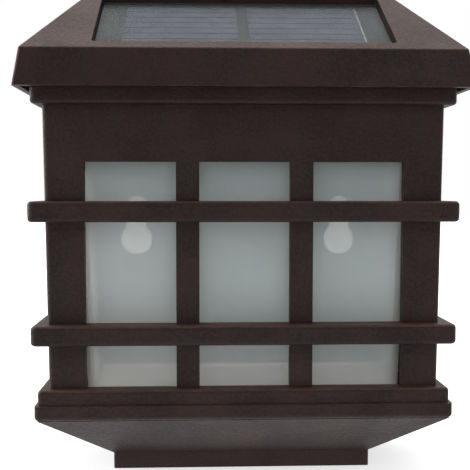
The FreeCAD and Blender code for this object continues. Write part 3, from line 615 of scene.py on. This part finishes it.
class Finish(Enum):
    """The finishes of this light."""

    # The fourth colour of each moulded finish lightens the broken edges: rubbing, and in part a painted highlight.
    HOUSING = MouldedPlastic(
        "housing", srgb(26, 14, 13), srgb(50, 30, 27), srgb(112, 92, 84), grain_mm=0.2, pebbles=1250.0, specular=0.3,
    )
    INNER = MouldedPlastic(
        "inner_plastic", srgb(26, 24, 24), srgb(36, 34, 34), srgb(70, 68, 66), 0.48, 0.03, 3200.0, 0.1,
    )
    FROSTED = FrostedPlastic()
    CAST = CastCover()
    CELL = CellSilicon()
    LAMINATE = PanelLaminate()
    RIBBON = PlatedMetal("ribbon", MetalKind.TIN)
    SCREW = PlatedMetal("screw_steel", MetalKind.ZINC)
    CONTACT = PlatedMetal("contact_spring", MetalKind.NICKEL)
    SOLDER = PlatedMetal("solder", MetalKind.SOLDER)
    COPPER = PlatedMetal("copper_wire", MetalKind.COPPER)
    SEALANT = SmoothFinish("sealant", srgb(206, 204, 196), srgb(184, 182, 172), 0.5)
    GASKET = SmoothFinish("gasket", srgb(26, 26, 27), srgb(38, 38, 39), 0.62)
    SLEEVE = SmoothFinish("battery_sleeve", srgb(28, 104, 66), srgb(36, 120, 76), 0.24, 60.0)
    MASK = SolderMask()
    CHIP = SmoothFinish("chip", srgb(24, 24, 26), srgb(34, 34, 37), 0.5, 800.0)
    LED = Phosphor()
    REFLECTOR = SmoothFinish("reflector_white", srgb(232, 232, 226), srgb(222, 222, 214), 0.22)
    SWITCH = SmoothFinish("switch_black", srgb(20, 20, 21), srgb(30, 30, 31), 0.36)
    SLIDER = SmoothFinish("slider_white", srgb(222, 221, 214), srgb(208, 206, 198), 0.42)
    RED = SmoothFinish("lead_red", srgb(158, 30, 24), srgb(136, 24, 20), 0.4)
    BLACK = SmoothFinish("lead_black", srgb(24, 24, 25), srgb(36, 36, 37), 0.42)

    def get(self) -> bpy.types.Material:
        """The material of this finish, made at its first use."""
        return bpy.data.materials.get(self.value.name + "_finish") or self._make()

    def _make(self) -> bpy.types.Material:
        """Builds the material and gives it this finish's name."""
        made = self.value.material()
        made.name = self.value.name + "_finish"
        return made


# ---- mesh making
def grid_mesh(name: str, points: np.ndarray, round_u: bool = False, round_v: bool = False) -> bpy.types.Mesh:
    """Mesh of a surface given as a grid of points.

    The quad at (i, j) joins the points (i, j), (i+1, j), (i+1, j+1) and (i, j+1). Where a
    direction is round, its last row joins its first.

    Args:
        name: the mesh's name.
        points: array of shape (nu, nv, 3), in metres.
        round_u: whether the first direction closes on itself.
        round_v: whether the second direction closes on itself.

    Returns:
        The mesh.
    """
    nu, nv = points.shape[:2]
    u = np.arange(nu if round_u else nu - 1)
    v = np.arange(nv if round_v else nv - 1)
    i, j = (a.ravel() for a in np.meshgrid(u, v, indexing="ij"))
    i1, j1 = (i + 1) % nu, (j + 1) % nv
    quads = np.stack((i * nv + j, i1 * nv + j, i1 * nv + j1, i * nv + j1), axis=1)
    mesh = bpy.data.meshes.new(name)
    mesh.from_pydata(points.reshape(-1, 3).tolist(), [], quads.tolist())
    return mesh


def turned(
    name: str, profile_mm: Sequence[tuple[float, float]], start: Vector, along: Vector, steps: int = 48,
) -> bpy.types.Mesh:
    """Solid of revolution: the profile's radius and height are carried round its axis.

    A point is start + height * along + radius * (cos a * side + sin a * other), for the angles
    a round the axis. A profile that starts and ends at radius 0 gives a closed solid.

    Args:
        name: the mesh's name.
        profile_mm: radius and height of each profile point.
        start: where the axis starts, in metres.
        along: unit direction of the axis.
        steps: points round the axis.

    Returns:
        The mesh, with its poles merged.
    """
    radius, height = np.array(profile_mm, float).T * MM
    angle = np.linspace(0.0, 2 * math.pi, steps, endpoint=False)
    side = np.array(along.orthogonal().normalized())
    other = np.cross(np.array(along), side)
    ring = np.cos(angle)[None, :, None] * side + np.sin(angle)[None, :, None] * other
    points = np.array(start) + height[:, None, None] * np.array(along) + radius[:, None, None] * ring
    return tidy(grid_mesh(name, points, round_v=True))


def bricks(name: str, boxes_mm: Sequence[Sequence[float]]) -> bpy.types.Mesh:
    """Mesh of several boxes at once.

    Corner k of a box takes its low or its high X, Y and Z by the three bits of k.

    Args:
        name: the mesh's name.
        boxes_mm: x0, x1, y0, y1, z0, z1 of each box.

    Returns:
        The mesh.
    """
    spans = np.array(boxes_mm, float).reshape(-1, 3, 2) * MM
    bits = np.array([[0, 0, 0], [1, 0, 0], [1, 1, 0], [0, 1, 0], [0, 0, 1], [1, 0, 1], [1, 1, 1], [0, 1, 1]])
    corners = np.stack([spans[:, axis, :][:, bits[:, axis]] for axis in range(3)], axis=2)
    sides = np.array([[0, 3, 2, 1], [4, 5, 6, 7], [0, 1, 5, 4], [1, 2, 6, 5], [2, 3, 7, 6], [3, 0, 4, 7]])
    faces = (sides[None] + 8 * np.arange(len(spans))[:, None, None]).reshape(-1, 4)
    mesh = bpy.data.meshes.new(name)
    mesh.from_pydata(corners.reshape(-1, 3).tolist(), [], faces.tolist())
    return mesh


def tidy(mesh: bpy.types.Mesh) -> bpy.types.Mesh:
    """Merges doubled points, closes caps and turns all faces outwards."""
    work = bmesh.new()
    work.from_mesh(mesh)
    bmesh.ops.remove_doubles(work, verts=work.verts, dist=1e-7)
    bmesh.ops.dissolve_degenerate(work, edges=work.edges, dist=1e-8)
    bmesh.ops.recalc_face_normals(work, faces=work.faces)
    work.to_mesh(mesh)
    work.free()
    return mesh


def soften(mesh: bpy.types.Mesh, radius_mm: float, steps: int = 2, angle_deg: float = 30.0) -> bpy.types.Mesh:
    """Breaks the sharp outer edges of a mesh and marks the new faces for rubbing and a painted edge highlight.

    Flat areas are first joined into whole faces. The broken edges get 1 in the point
    attribute "edge", which fades into the flat faces beside them.

    Args:
        mesh: the mesh, which is changed.
        radius_mm: width of the broken edge.
        steps: faces across it.
        angle_deg: edges sharper than this are broken.

    Returns:
        The same mesh.
    """
    work = bmesh.new()
    work.from_mesh(mesh)
    bmesh.ops.remove_doubles(work, verts=work.verts, dist=1e-6)
    bmesh.ops.dissolve_limit(work, angle_limit=FLAT_BELOW, verts=work.verts, edges=work.edges)
    limit = math.radians(angle_deg)
    layer = work.faces.layers.float.new("edge")
    sharp = [e for e in work.edges if e.is_manifold and e.is_convex and e.calc_face_angle() > limit]
    made = bmesh.ops.bevel(
        work, geom=sharp, offset=radius_mm * MM, offset_type="OFFSET", segments=steps, profile=0.5,
        affect="EDGES", clamp_overlap=True, miter_outer="SHARP",
    )
    for face in made["faces"]:
        face[layer] = 1.0
    work.to_mesh(mesh)
    work.free()
    return mesh


def joined(name: str, parts: Sequence[tuple[bpy.types.Mesh, int]]) -> bpy.types.Mesh:
    """Joins meshes into one and gives each its material place.

    Args:
        name: the joined mesh's name.
        parts: each mesh and the number of its material place.

    Returns:
        The joined mesh; the parts are removed.
    """
    work = bmesh.new()
    for part, place in parts:
        part.polygons.foreach_set("material_index", np.full(len(part.polygons), place, dtype=np.int32))
        work.from_mesh(part)
        bpy.data.meshes.remove(part)
    mesh = bpy.data.meshes.new(name)
    work.to_mesh(mesh)
    work.free()
    return mesh


def mark_windows(mesh: bpy.types.Mesh, rim_mm: float) -> bpy.types.Mesh:
    """Insets the faces that look down and sinks them, with 1 in the attribute "window".

    Args:
        mesh: the mesh, which is changed.
        rim_mm: width of the rim left round each window.

    Returns:
        The same mesh.
    """
    work = bmesh.new()
    work.from_mesh(mesh)
    bmesh.ops.dissolve_limit(work, angle_limit=FLAT_BELOW, verts=work.verts, edges=work.edges)
    layer = work.faces.layers.float.new("window")
    down = [f for f in work.faces if f.normal.z < -0.9]
    bmesh.ops.inset_individual(work, faces=down, thickness=rim_mm * MM, depth=-0.12 * MM)
    for face in down:
        face[layer] = 1.0
    work.to_mesh(mesh)
    work.free()
    return mesh


def show(
    mesh: bpy.types.Mesh, body: str, finishes: Union[Finish, Sequence[Finish]], replaces: Optional[str] = None,
) -> bpy.types.Object:
    """Puts a finished mesh in the scene as a piece of the light.

    Args:
        mesh: the mesh, in the frame of the model.
        body: the CAD body that it rides on.
        finishes: its finish, or one for each of its material places.
        replaces: the CAD node that it stands for.

    Returns:
        The piece.
    """
    chosen = [finishes] if isinstance(finishes, Finish) else finishes
    for finish in chosen:
        mesh.materials.append(finish.get())
    mesh.shade_smooth()
    mesh.set_sharp_from_angle(angle=SMOOTH_BELOW)
    piece = bpy.data.objects.new(mesh.name, mesh)
    bpy.context.scene.collection.objects.link(piece)
    piece.modifiers.new("even_shading", "WEIGHTED_NORMAL").keep_sharp = True
    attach(piece, body)
    if replaces:
        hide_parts(replaces)
    LOG.info("%s rides on %s, %d faces", piece.name, body, len(mesh.polygons))
    return piece


@dataclass(frozen=True)
class Dressing:
    """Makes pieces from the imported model's own nodes."""

    frame: dict

    def mesh(self, node: str, name: str) -> bpy.types.Mesh:
        """A copy of a node's mesh, with its seams merged and no materials.

        Args:
            node: the CAD node.
            name: the copy's name.

        Returns:
            The copy.
        """
        copied = self.frame["nodes"][node].data.copy()
        copied.name = name
        copied.materials.clear()
        work = bmesh.new()
        work.from_mesh(copied)
        bmesh.ops.remove_doubles(work, verts=work.verts, dist=1e-6)
        work.to_mesh(copied)
        work.free()
        if copied.has_custom_normals:
            copied.normals_split_custom_set([(0.0, 0.0, 0.0)] * len(copied.loops))
        return copied

    def softened(
        self, node: str, name: str, body: str, finish: Finish, radius_mm: float, steps: int = 2,
    ) -> bpy.types.Object:
        """Stands a soft-edged copy in for a node.

        Args:
            node: the CAD node.
            name: the piece's name.
            body: the CAD body that it rides on.
            finish: its finish.
            radius_mm: width of the broken edges.
            steps: faces across them.

        Returns:
            The piece.
        """
        mesh = soften(self.mesh(node, name), radius_mm, steps)
        return show(mesh, body, finish, node)


# ---- small hardware
@dataclass(frozen=True)
class PanScrew:
    """Pan-head screw with a cross recess and a rolled thread, its head's seat on a point."""

    head_r: float = 2.9
    head_h: float = 2.0
    shank_r: float = 1.5
    length: float = 8.0
    thread_pitch: float = 1.2
    thread_h: float = 0.28
    arm: float = 0.42
    reach: float = 1.75
    depth: float = 1.25

    def head(self, name: str, seat: Vector, out: Vector) -> bpy.types.Mesh:
        """The head: a dome over polar coordinates, sunk where the two arms of the cross run.

        Its height over radius r is head_h * (1 - 0.28 (r / head_r)^4), falls round the rim, and
        drops by depth inside the cross, whose walls lean by a smooth step across 0.2 mm.

        Args:
            name: the mesh's name.
            seat: middle of the head's underside, in metres.
            out: unit direction from the seat to the top of the head.

        Returns:
            The mesh.
        """
        rim = 1.0 - 0.08 * np.cos(np.linspace(0.2, math.pi / 2, 6)) ** 2
        top = np.concatenate((np.linspace(0.0, 0.92, 26), rim))
        radius = np.concatenate((top * self.head_r, [self.head_r, 0.0]))
        angle = np.linspace(0.0, 2 * math.pi, 72, endpoint=False)
        share = np.minimum(radius / self.head_r, 1.0)
        dome = self.head_h * (1.0 - 0.28 * share**4) * np.where(share > 0.97, 0.82, 1.0)
        dome[-2:] = 0.0
        x = radius[:, None] * np.cos(angle)
        y = radius[:, None] * np.sin(angle)
        near = np.minimum(np.abs(x), np.abs(y))
        sides = np.clip((self.arm - near) / 0.2 + 0.5, 0.0, 1.0)
        ends = np.clip((self.reach - np.hypot(x, y)) / 0.35 + 0.5, 0.0, 1.0)
        sink = self.depth * (sides**2 * (3 - 2 * sides)) * (ends**2 * (3 - 2 * ends))
        sink[-2:] = 0.0
        height = dome[:, None] - sink
        axis = np.array(out)
        side = np.array(out.orthogonal().normalized())
        other = np.cross(axis, side)
        points = np.array(seat) + MM * (x[..., None] * side + y[..., None] * other + height[..., None] * axis)
        return tidy(grid_mesh(name, points, round_v=True))

    def shank(self, name: str, seat: Vector, out: Vector) -> bpy.types.Mesh:
        """The shank: its radius at height h and angle a is the core plus thread_h where the phase
        h / pitch - a / full turn is near a whole number, and runs to a blunt cone at the end.

        Args:
            name: the mesh's name.
            seat: middle of the head's underside, in metres.
            out: unit direction from the seat to the top of the head.

        Returns:
            The mesh.
        """
        height = np.linspace(0.0, self.length, int(self.length / self.thread_pitch * 12))
        angle = np.linspace(0.0, 2 * math.pi, 24, endpoint=False)
        phase = (height[:, None] / self.thread_pitch - angle[None, :] / (2 * math.pi)) % 1.0
        crest = np.clip(1.0 - np.abs(phase - 0.5) * 4.0, 0.0, 1.0)
        radius = self.shank_r - self.thread_h + self.thread_h * crest
        taper = np.clip((self.length - height) / 1.2, 0.25, 1.0)[:, None]
        radius = radius * taper
        radius = np.vstack((np.zeros((1, 24)), radius, np.zeros((1, 24))))
        height = np.concatenate(([0.0], height, [self.length]))
        axis = -np.array(out)
        side = np.array(out.orthogonal().normalized())
        other = np.cross(axis, side)
        ring = np.cos(angle)[None, :, None] * side + np.sin(angle)[None, :, None] * other
        points = np.array(seat) + MM * (radius[..., None] * ring + height[:, None, None] * axis)
        return tidy(grid_mesh(name, points, round_v=True))

    def join(self, name: str, seats: Sequence[Vector], out: Vector) -> bpy.types.Mesh:
        """All screws of one node in one mesh, from the seats of their heads and the heads' direction."""
        parts = [(make(name, seat, out), 0) for seat in seats for make in (self.head, self.shank)]
        return joined(name, parts)

    def pair(self, name: str, node: str) -> bpy.types.Mesh:
        """Two screws with their heads below, at the left and right ends of a node's box.

        Args:
            name: the mesh's name.
            node: the CAD node that they stand for.

        Returns:
            The mesh.
        """
        low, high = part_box(node)
        reach = high.x - self.head_r * MM
        seat_z = low.z + self.head_h * MM
        seats = [Vector((side * reach, (low.y + high.y) / 2, seat_z)) for side in (-1, 1)]
        return self.join(name, seats, Vector((0, 0, -1)))


# ---- sub-assemblies
@dataclass(frozen=True)
class Assembly:
    """Pieces that are made together."""

    dressing: Dressing

    def soft(self, body: str, *rows: tuple) -> None:
        """Softened copies of one body's nodes, from rows of node, piece, finish, edge and steps."""
        for node, name, finish, *edge in rows:
            self.dressing.softened(node, name, body, finish, *edge)


@dataclass(frozen=True)
class Housing(Assembly):
    """Lantern body with its neck, rails and sill, and the base pan with its screws."""

    edge: float = 0.3

    def build(self) -> None:
        """Makes the body, the pan and the pan's screws."""
        self.soft(
            "lantern",
            ("lantern_body", "body_moulding", Finish.HOUSING, self.edge),
            ("base_pan", "pan_moulding", Finish.HOUSING, self.edge),
        )
        show(PanScrew().pair("pan_screws", "base_screws"), "lantern", Finish.SCREW, "base_screws")


@dataclass(frozen=True)
class FrostedCup(Assembly):
    """The frosted cup behind the windows."""

    edge: float = 0.25

    def build(self) -> None:
        """Makes the cup."""
        self.soft("lantern", ("diffuser", "frosted_cup", Finish.FROSTED, self.edge))


@dataclass(frozen=True)
class Roof(Assembly):
    """Roof moulding, ceiling plate, gasket and the screws between them."""

    edge: float = 0.3

    def build(self) -> None:
        """Makes the roof's mouldings and screws."""
        self.soft(
            "roof",
            ("roof_cap", "roof_moulding", Finish.HOUSING, self.edge),
            ("ceiling_plate", "ceiling_moulding", Finish.INNER, 0.15),
            ("roof_gasket", "gasket_ring", Finish.GASKET, 0.3),
        )
        show(PanScrew().pair("plate_screws", "ceiling_screws"), "roof", Finish.SCREW, "ceiling_screws")


@dataclass(frozen=True)
class SolarPanel(Assembly):
    """Panel in the roof's recess: sealant bead, board, cells, ribbon and cast cover.

    The cover stands a thin film off the faces that it lies on, so that no two faces are one.
    """

    film: float = 0.03

    def build(self) -> None:
        """Makes the layers from the sealant up."""
        self.soft(
            "roof",
            ("panel_seal", "sealant_bead", Finish.SEALANT, 0.1, 3),
            ("panel_board", "panel_laminate", Finish.LAMINATE, 0.12),
            ("solar_cells", "cell_strips", Finish.CELL, 0.05, 1),
            ("cell_bus", "tinned_ribbon", Finish.RIBBON, 0.08, 1),
        )
        cover = soften(self.dressing.mesh("panel_cover", "cast_cover"), 0.2, 3)
        turn = math.radians(PANEL_SLOPE_DEG)
        cover.transform(Matrix.Translation(Vector((0.0, -math.sin(turn), math.cos(turn))) * self.film * MM))
        show(cover, "roof", Finish.CAST, "panel_cover")


@dataclass(frozen=True)
class BatteryBay(Assembly):
    """Battery, its two contacts and the sliding door."""

    radius: float = 7.0
    length: float = 48.6
    nub_r: float = 2.7
    nub_l: float = 1.4

    def build(self) -> None:
        """Makes the battery, its sleeve and the parts round it."""
        low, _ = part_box("battery")
        middle = (low.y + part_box("battery")[1].y) / 2
        start = Vector((low.x, middle, low.z + self.radius * MM))
        r, end = self.radius, self.length
        can = [
            (0.0, 0.0), (r - 2.2, 0.0), (r - 1.5, 0.15), (r - 0.7, 0.1), (r - 0.25, 0.35), (r - 0.12, 0.9),
            (r - 0.12, end - 3.4), (r - 0.45, end - 3.0), (r - 0.45, end - 2.6), (r - 0.12, end - 2.2),
            (r - 0.2, end - 0.5), (r - 1.0, end - 0.1),
            (r - 1.8, end - 0.25), (self.nub_r + 0.5, end - 0.25), (self.nub_r + 0.1, end), (self.nub_r, end + 0.3),
            (self.nub_r, end + self.nub_l - 0.35), (self.nub_r - 0.35, end + self.nub_l), (0.0, end + self.nub_l),
        ]
        along = Vector((1, 0, 0))
        show(turned("battery_can", can, start, along), "roof", Finish.CONTACT)
        sleeve = [
            (r - 1.4, 0.02), (r - 0.5, 0.0), (r - 0.1, 0.2), (r, 0.7), (r, end - 3.3), (r - 0.3, end - 2.95),
            (r - 0.3, end - 2.65), (r, end - 2.3), (r, end - 0.6), (r - 0.2, end - 0.1), (r - 1.2, end),
            (r - 1.3, end - 0.12), (r - 0.3, end - 0.3),
            (r - 0.15, end - 0.8), (r - 0.15, 0.9), (r - 0.4, 0.2), (r - 1.3, 0.14), (r - 1.4, 0.02),
        ]
        show(turned("battery_wrap", sleeve, start, along), "roof", Finish.SLEEVE, "battery")
        self.soft("roof", ("battery_contacts", "contact_strips", Finish.CONTACT, 0.06, 1))
        self.soft("door", ("battery_door", "bay_door", Finish.INNER, 0.18))


@dataclass(frozen=True)
class Electronics(Assembly):
    """Circuit board with its parts, strip board with light sources, and the white reflector."""

    def build(self) -> None:
        """Makes the boards and what is soldered to them."""
        self.soft(
            "roof",
            ("circuit_board", "driver_board", Finish.MASK, 0.08, 1),
            ("led_board", "strip_board", Finish.MASK, 0.08, 1),
            ("led_reflector", "reflector_frame", Finish.REFLECTOR, 0.15),
        )
        self._parts()
        lights = soften(mark_windows(self.dressing.mesh("leds", "light_sources"), 0.5), 0.1, 2, 60.0)
        show(lights, "roof", Finish.LED, "leds")
        low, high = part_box("board_screws")
        screw = PanScrew(1.9, 1.2, 1.1, 5.2, 0.8, 0.2, 0.28, 1.15, 0.75)
        x0, x1 = low.x + screw.head_r * MM, high.x - screw.head_r * MM
        y0, y1 = low.y + screw.head_r * MM, high.y - screw.head_r * MM
        seat_z = high.z - screw.head_h * MM
        mesh = screw.join("board_fixings", [Vector((x0, y0, seat_z)), Vector((x1, y1, seat_z))], Vector((0, 0, 1)))
        show(mesh, "roof", Finish.SCREW, "board_screws")

    def _parts(self) -> None:
        """Driver chip with legs, wound coil, capacitor and resistors with tinned ends.

        The coil's wire is a ring of radius r swung up and down: at turn angle a its height is
        low + (high - low) * a / all turns, and its section is a small circle round that path.
        """
        low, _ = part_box("board_parts")
        base = low.z / MM
        body = soften(self.dressing.mesh("board_parts", "cases"), 0.12)
        legs = [(x - 0.2, x + 0.2, y, y + 0.9, base, base + h)
                for x in np.linspace(-5.3, -1.7, 4) for y, h in ((-27.55, 0.25), (-23.25, 0.25))]
        ends = [(x + shift, x + shift + 0.34, -17.87, -16.63, base, base + 0.82)
                for x in (-6.32, -2.82, 0.68) for shift in (0.0, 1.3)]
        turns, middle, radius, wire = 7, (4.5, -23.95), 3.03, 0.2
        angle = np.linspace(0.0, 2 * math.pi * turns, turns * 36)
        round_wire = np.linspace(0.0, 2 * math.pi, 8, endpoint=False)
        out = radius + wire * np.cos(round_wire)[None, :]
        climb = base + 0.45 + 2.3 * angle[:, None] / angle[-1] + wire * np.sin(round_wire)[None, :]
        x = middle[0] + out * np.cos(angle)[:, None]
        y = middle[1] + out * np.sin(angle)[:, None]
        coil = tidy(grid_mesh("coil", np.stack((x, y, climb), axis=2) * MM, round_v=True))
        mesh = joined("soldered_parts", [(body, 0), (bricks("legs", legs + ends), 1), (coil, 2)])
        show(mesh, "roof", (Finish.CHIP, Finish.SOLDER, Finish.COPPER), "board_parts")


@dataclass(frozen=True)
class SwitchAndLeads(Assembly):
    """Slide switch and the insulated leads."""

    def build(self) -> None:
        """Makes the switch and the leads."""
        self.soft("roof", ("switch_body", "switch_case", Finish.SWITCH, 0.12))
        self.soft("switch", ("switch_slider", "switch_knob", Finish.SLIDER, 0.12))
        self.soft(
            "roof",
            ("red_leads", "leads_plus", Finish.RED, 0.1),
            ("black_leads", "leads_minus", Finish.BLACK, 0.1),
        )


# ---- studio
@dataclass(frozen=True)
class SoftBox:
    """A large soft lamp that looks at a point."""

    name: str
    place: tuple[float, float, float]
    target: tuple[float, float, float]
    size: tuple[float, float]
    radiance: float
    colour: Colour = (1.0, 1.0, 1.0)

    def build(self) -> None:
        """Makes the lamp; its power is radiance * pi * area."""
        data = bpy.data.lights.new(self.name, "AREA")
        data.shape = "RECTANGLE"
        data.size, data.size_y = self.size
        data.energy = self.radiance * math.pi * self.size[0] * self.size[1]
        data.color = self.colour
        lamp = bpy.data.objects.new(self.name, data)
        bpy.context.scene.collection.objects.link(lamp)
        lamp.location = self.place
        direction = Vector(self.target) - Vector(self.place)
        lamp.rotation_euler = direction.to_track_quat("-Z", "Y").to_euler()
        lamp.visible_camera = False


@dataclass(frozen=True)
class Studio:
    """Pale floor, white surroundings, soft lamps, and the camera at the photograph's place."""

    ambient: float = 1.0
    front_gloss: float = 0.08
    floor_z: float = -0.07545
    floor_reach: float = 3.0
    camera_place: tuple[float, float, float] = (-0.01333, -0.31743, 0.0175)
    yaw_deg: float = 2.217
    pitch_deg: float = -2.922
    lens_mm: float = 65.34

    def build(self) -> None:
        """Makes the surroundings."""
        self._world()
        self._floor()
        for lamp in (
            SoftBox("top_box", (0.0, 0.42, 1.0), (0.0, 0.0, 0.05), (1.3, 1.1), 0.6),
            SoftBox("left_box", (-1.1, -0.25, 0.35), (0.0, 0.0, 0.0), (0.7, 1.1), 3.2),
            SoftBox("rim_box", (-0.9, 0.5, 0.05), (0.0, 0.0, 0.0), (0.35, 0.9), 6.0),
            SoftBox("front_box", (0.7, -1.1, 1.1), (0.0, 0.0, 0.0), (1.0, 0.8), 1.2),
        ):
            lamp.build()
        self._camera()
        bpy.context.scene.view_settings.view_transform = "Standard"

    def _world(self) -> None:
        """White where it is seen, greyer in front of the light, and even as a light source."""
        world = bpy.data.worlds.new("studio")
        bpy.context.scene.world = world
        world.use_nodes = True
        world.node_tree.nodes.clear()
        graph = Graph(world.node_tree)
        path = graph.node("ShaderNodeLightPath")
        _, deep, _ = graph.split(graph.node("ShaderNodeTexCoord").outputs["Generated"])
        mirrored = graph.span(deep, -0.35, 0.25, self.front_gloss, 1.0)
        seen = graph.math("MAXIMUM", path.outputs["Is Camera Ray"], path.outputs["Is Transmission Ray"])
        glossy = path.outputs["Is Glossy Ray"]
        level = graph.math("MAXIMUM", seen, graph.times(glossy, mirrored))
        lit = graph.math("SUBTRACT", 1.0, graph.math("MAXIMUM", seen, glossy))
        level = graph.add(level, graph.times(lit, self.ambient))
        shade = graph.node("ShaderNodeBackground")
        graph.put(shade.inputs["Color"], (1.0, 1.0, 1.0))
        graph.put(shade.inputs["Strength"], level)
        out = graph.node("ShaderNodeOutputWorld")
        graph.put(out.inputs["Surface"], shade.outputs[0])

    def _floor(self) -> None:
        """Pale floor under the foot that keeps a soft shadow and runs out into white."""
        reach = self.floor_reach
        points = np.array([[(-reach, -reach), (-reach, reach)], [(reach, -reach), (reach, reach)]])
        flat = np.concatenate((points, np.full((2, 2, 1), self.floor_z)), axis=2)
        mesh = grid_mesh("studio_floor", flat)
        graph = MaterialGraph("studio_floor")
        path = graph.node("ShaderNodeLightPath")
        place = graph.place()
        grey = graph.noise(place, 60.0, 4.0, 0.6)
        far = graph.node("ShaderNodeVectorMath", operation="LENGTH")
        graph.put(far.inputs[0], place)
        fade = graph.span(far.outputs["Value"], 0.12, 0.9, 0.6, 1.0)
        near = graph.span(far.outputs["Value"], 0.0765, 0.16, 1.0, 0.0)
        seen = graph.times(path.outputs["Is Camera Ray"], fade)
        seen = graph.add(seen, graph.times(path.outputs["Is Glossy Ray"], near))
        colour = graph.mix(graph.times(grey, 0.06), (0.6, 0.6, 0.6), (0.52, 0.52, 0.52))
        surface = graph.principled(
            Base_Color=colour, Roughness=0.8, Specular_IOR_Level=0.1, Emission_Color=(1.0, 1.0, 1.0),
            Emission_Strength=seen,
        )
        mesh.materials.append(graph.finish(surface))
        floor = bpy.data.objects.new("studio_floor", mesh)
        bpy.context.scene.collection.objects.link(floor)

    def _camera(self) -> None:
        """The camera as solved from the photograph's straight edges."""
        data = bpy.data.cameras.new("camera")
        data.lens = self.lens_mm
        data.sensor_width = 36.0
        data.clip_start = 0.01
        camera = bpy.data.objects.new("camera", data)
        bpy.context.scene.collection.objects.link(camera)
        camera.location = self.camera_place
        camera.rotation_euler = (math.radians(90.0 + self.pitch_deg), 0.0, math.radians(-self.yaw_deg))
        bpy.context.scene.camera = camera


def main() -> None:
    """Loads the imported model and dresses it."""
    logging.basicConfig(level=logging.INFO, format="%(message)s")
    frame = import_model()
    dressing = Dressing(frame)
    for part in (Housing, FrostedCup, Roof, SolarPanel, BatteryBay, Electronics, SwitchAndLeads):
        part(dressing).build()
        LOG.info("%s built", part.__name__)
    Studio().build()


if __name__ == "__main__":
    main()
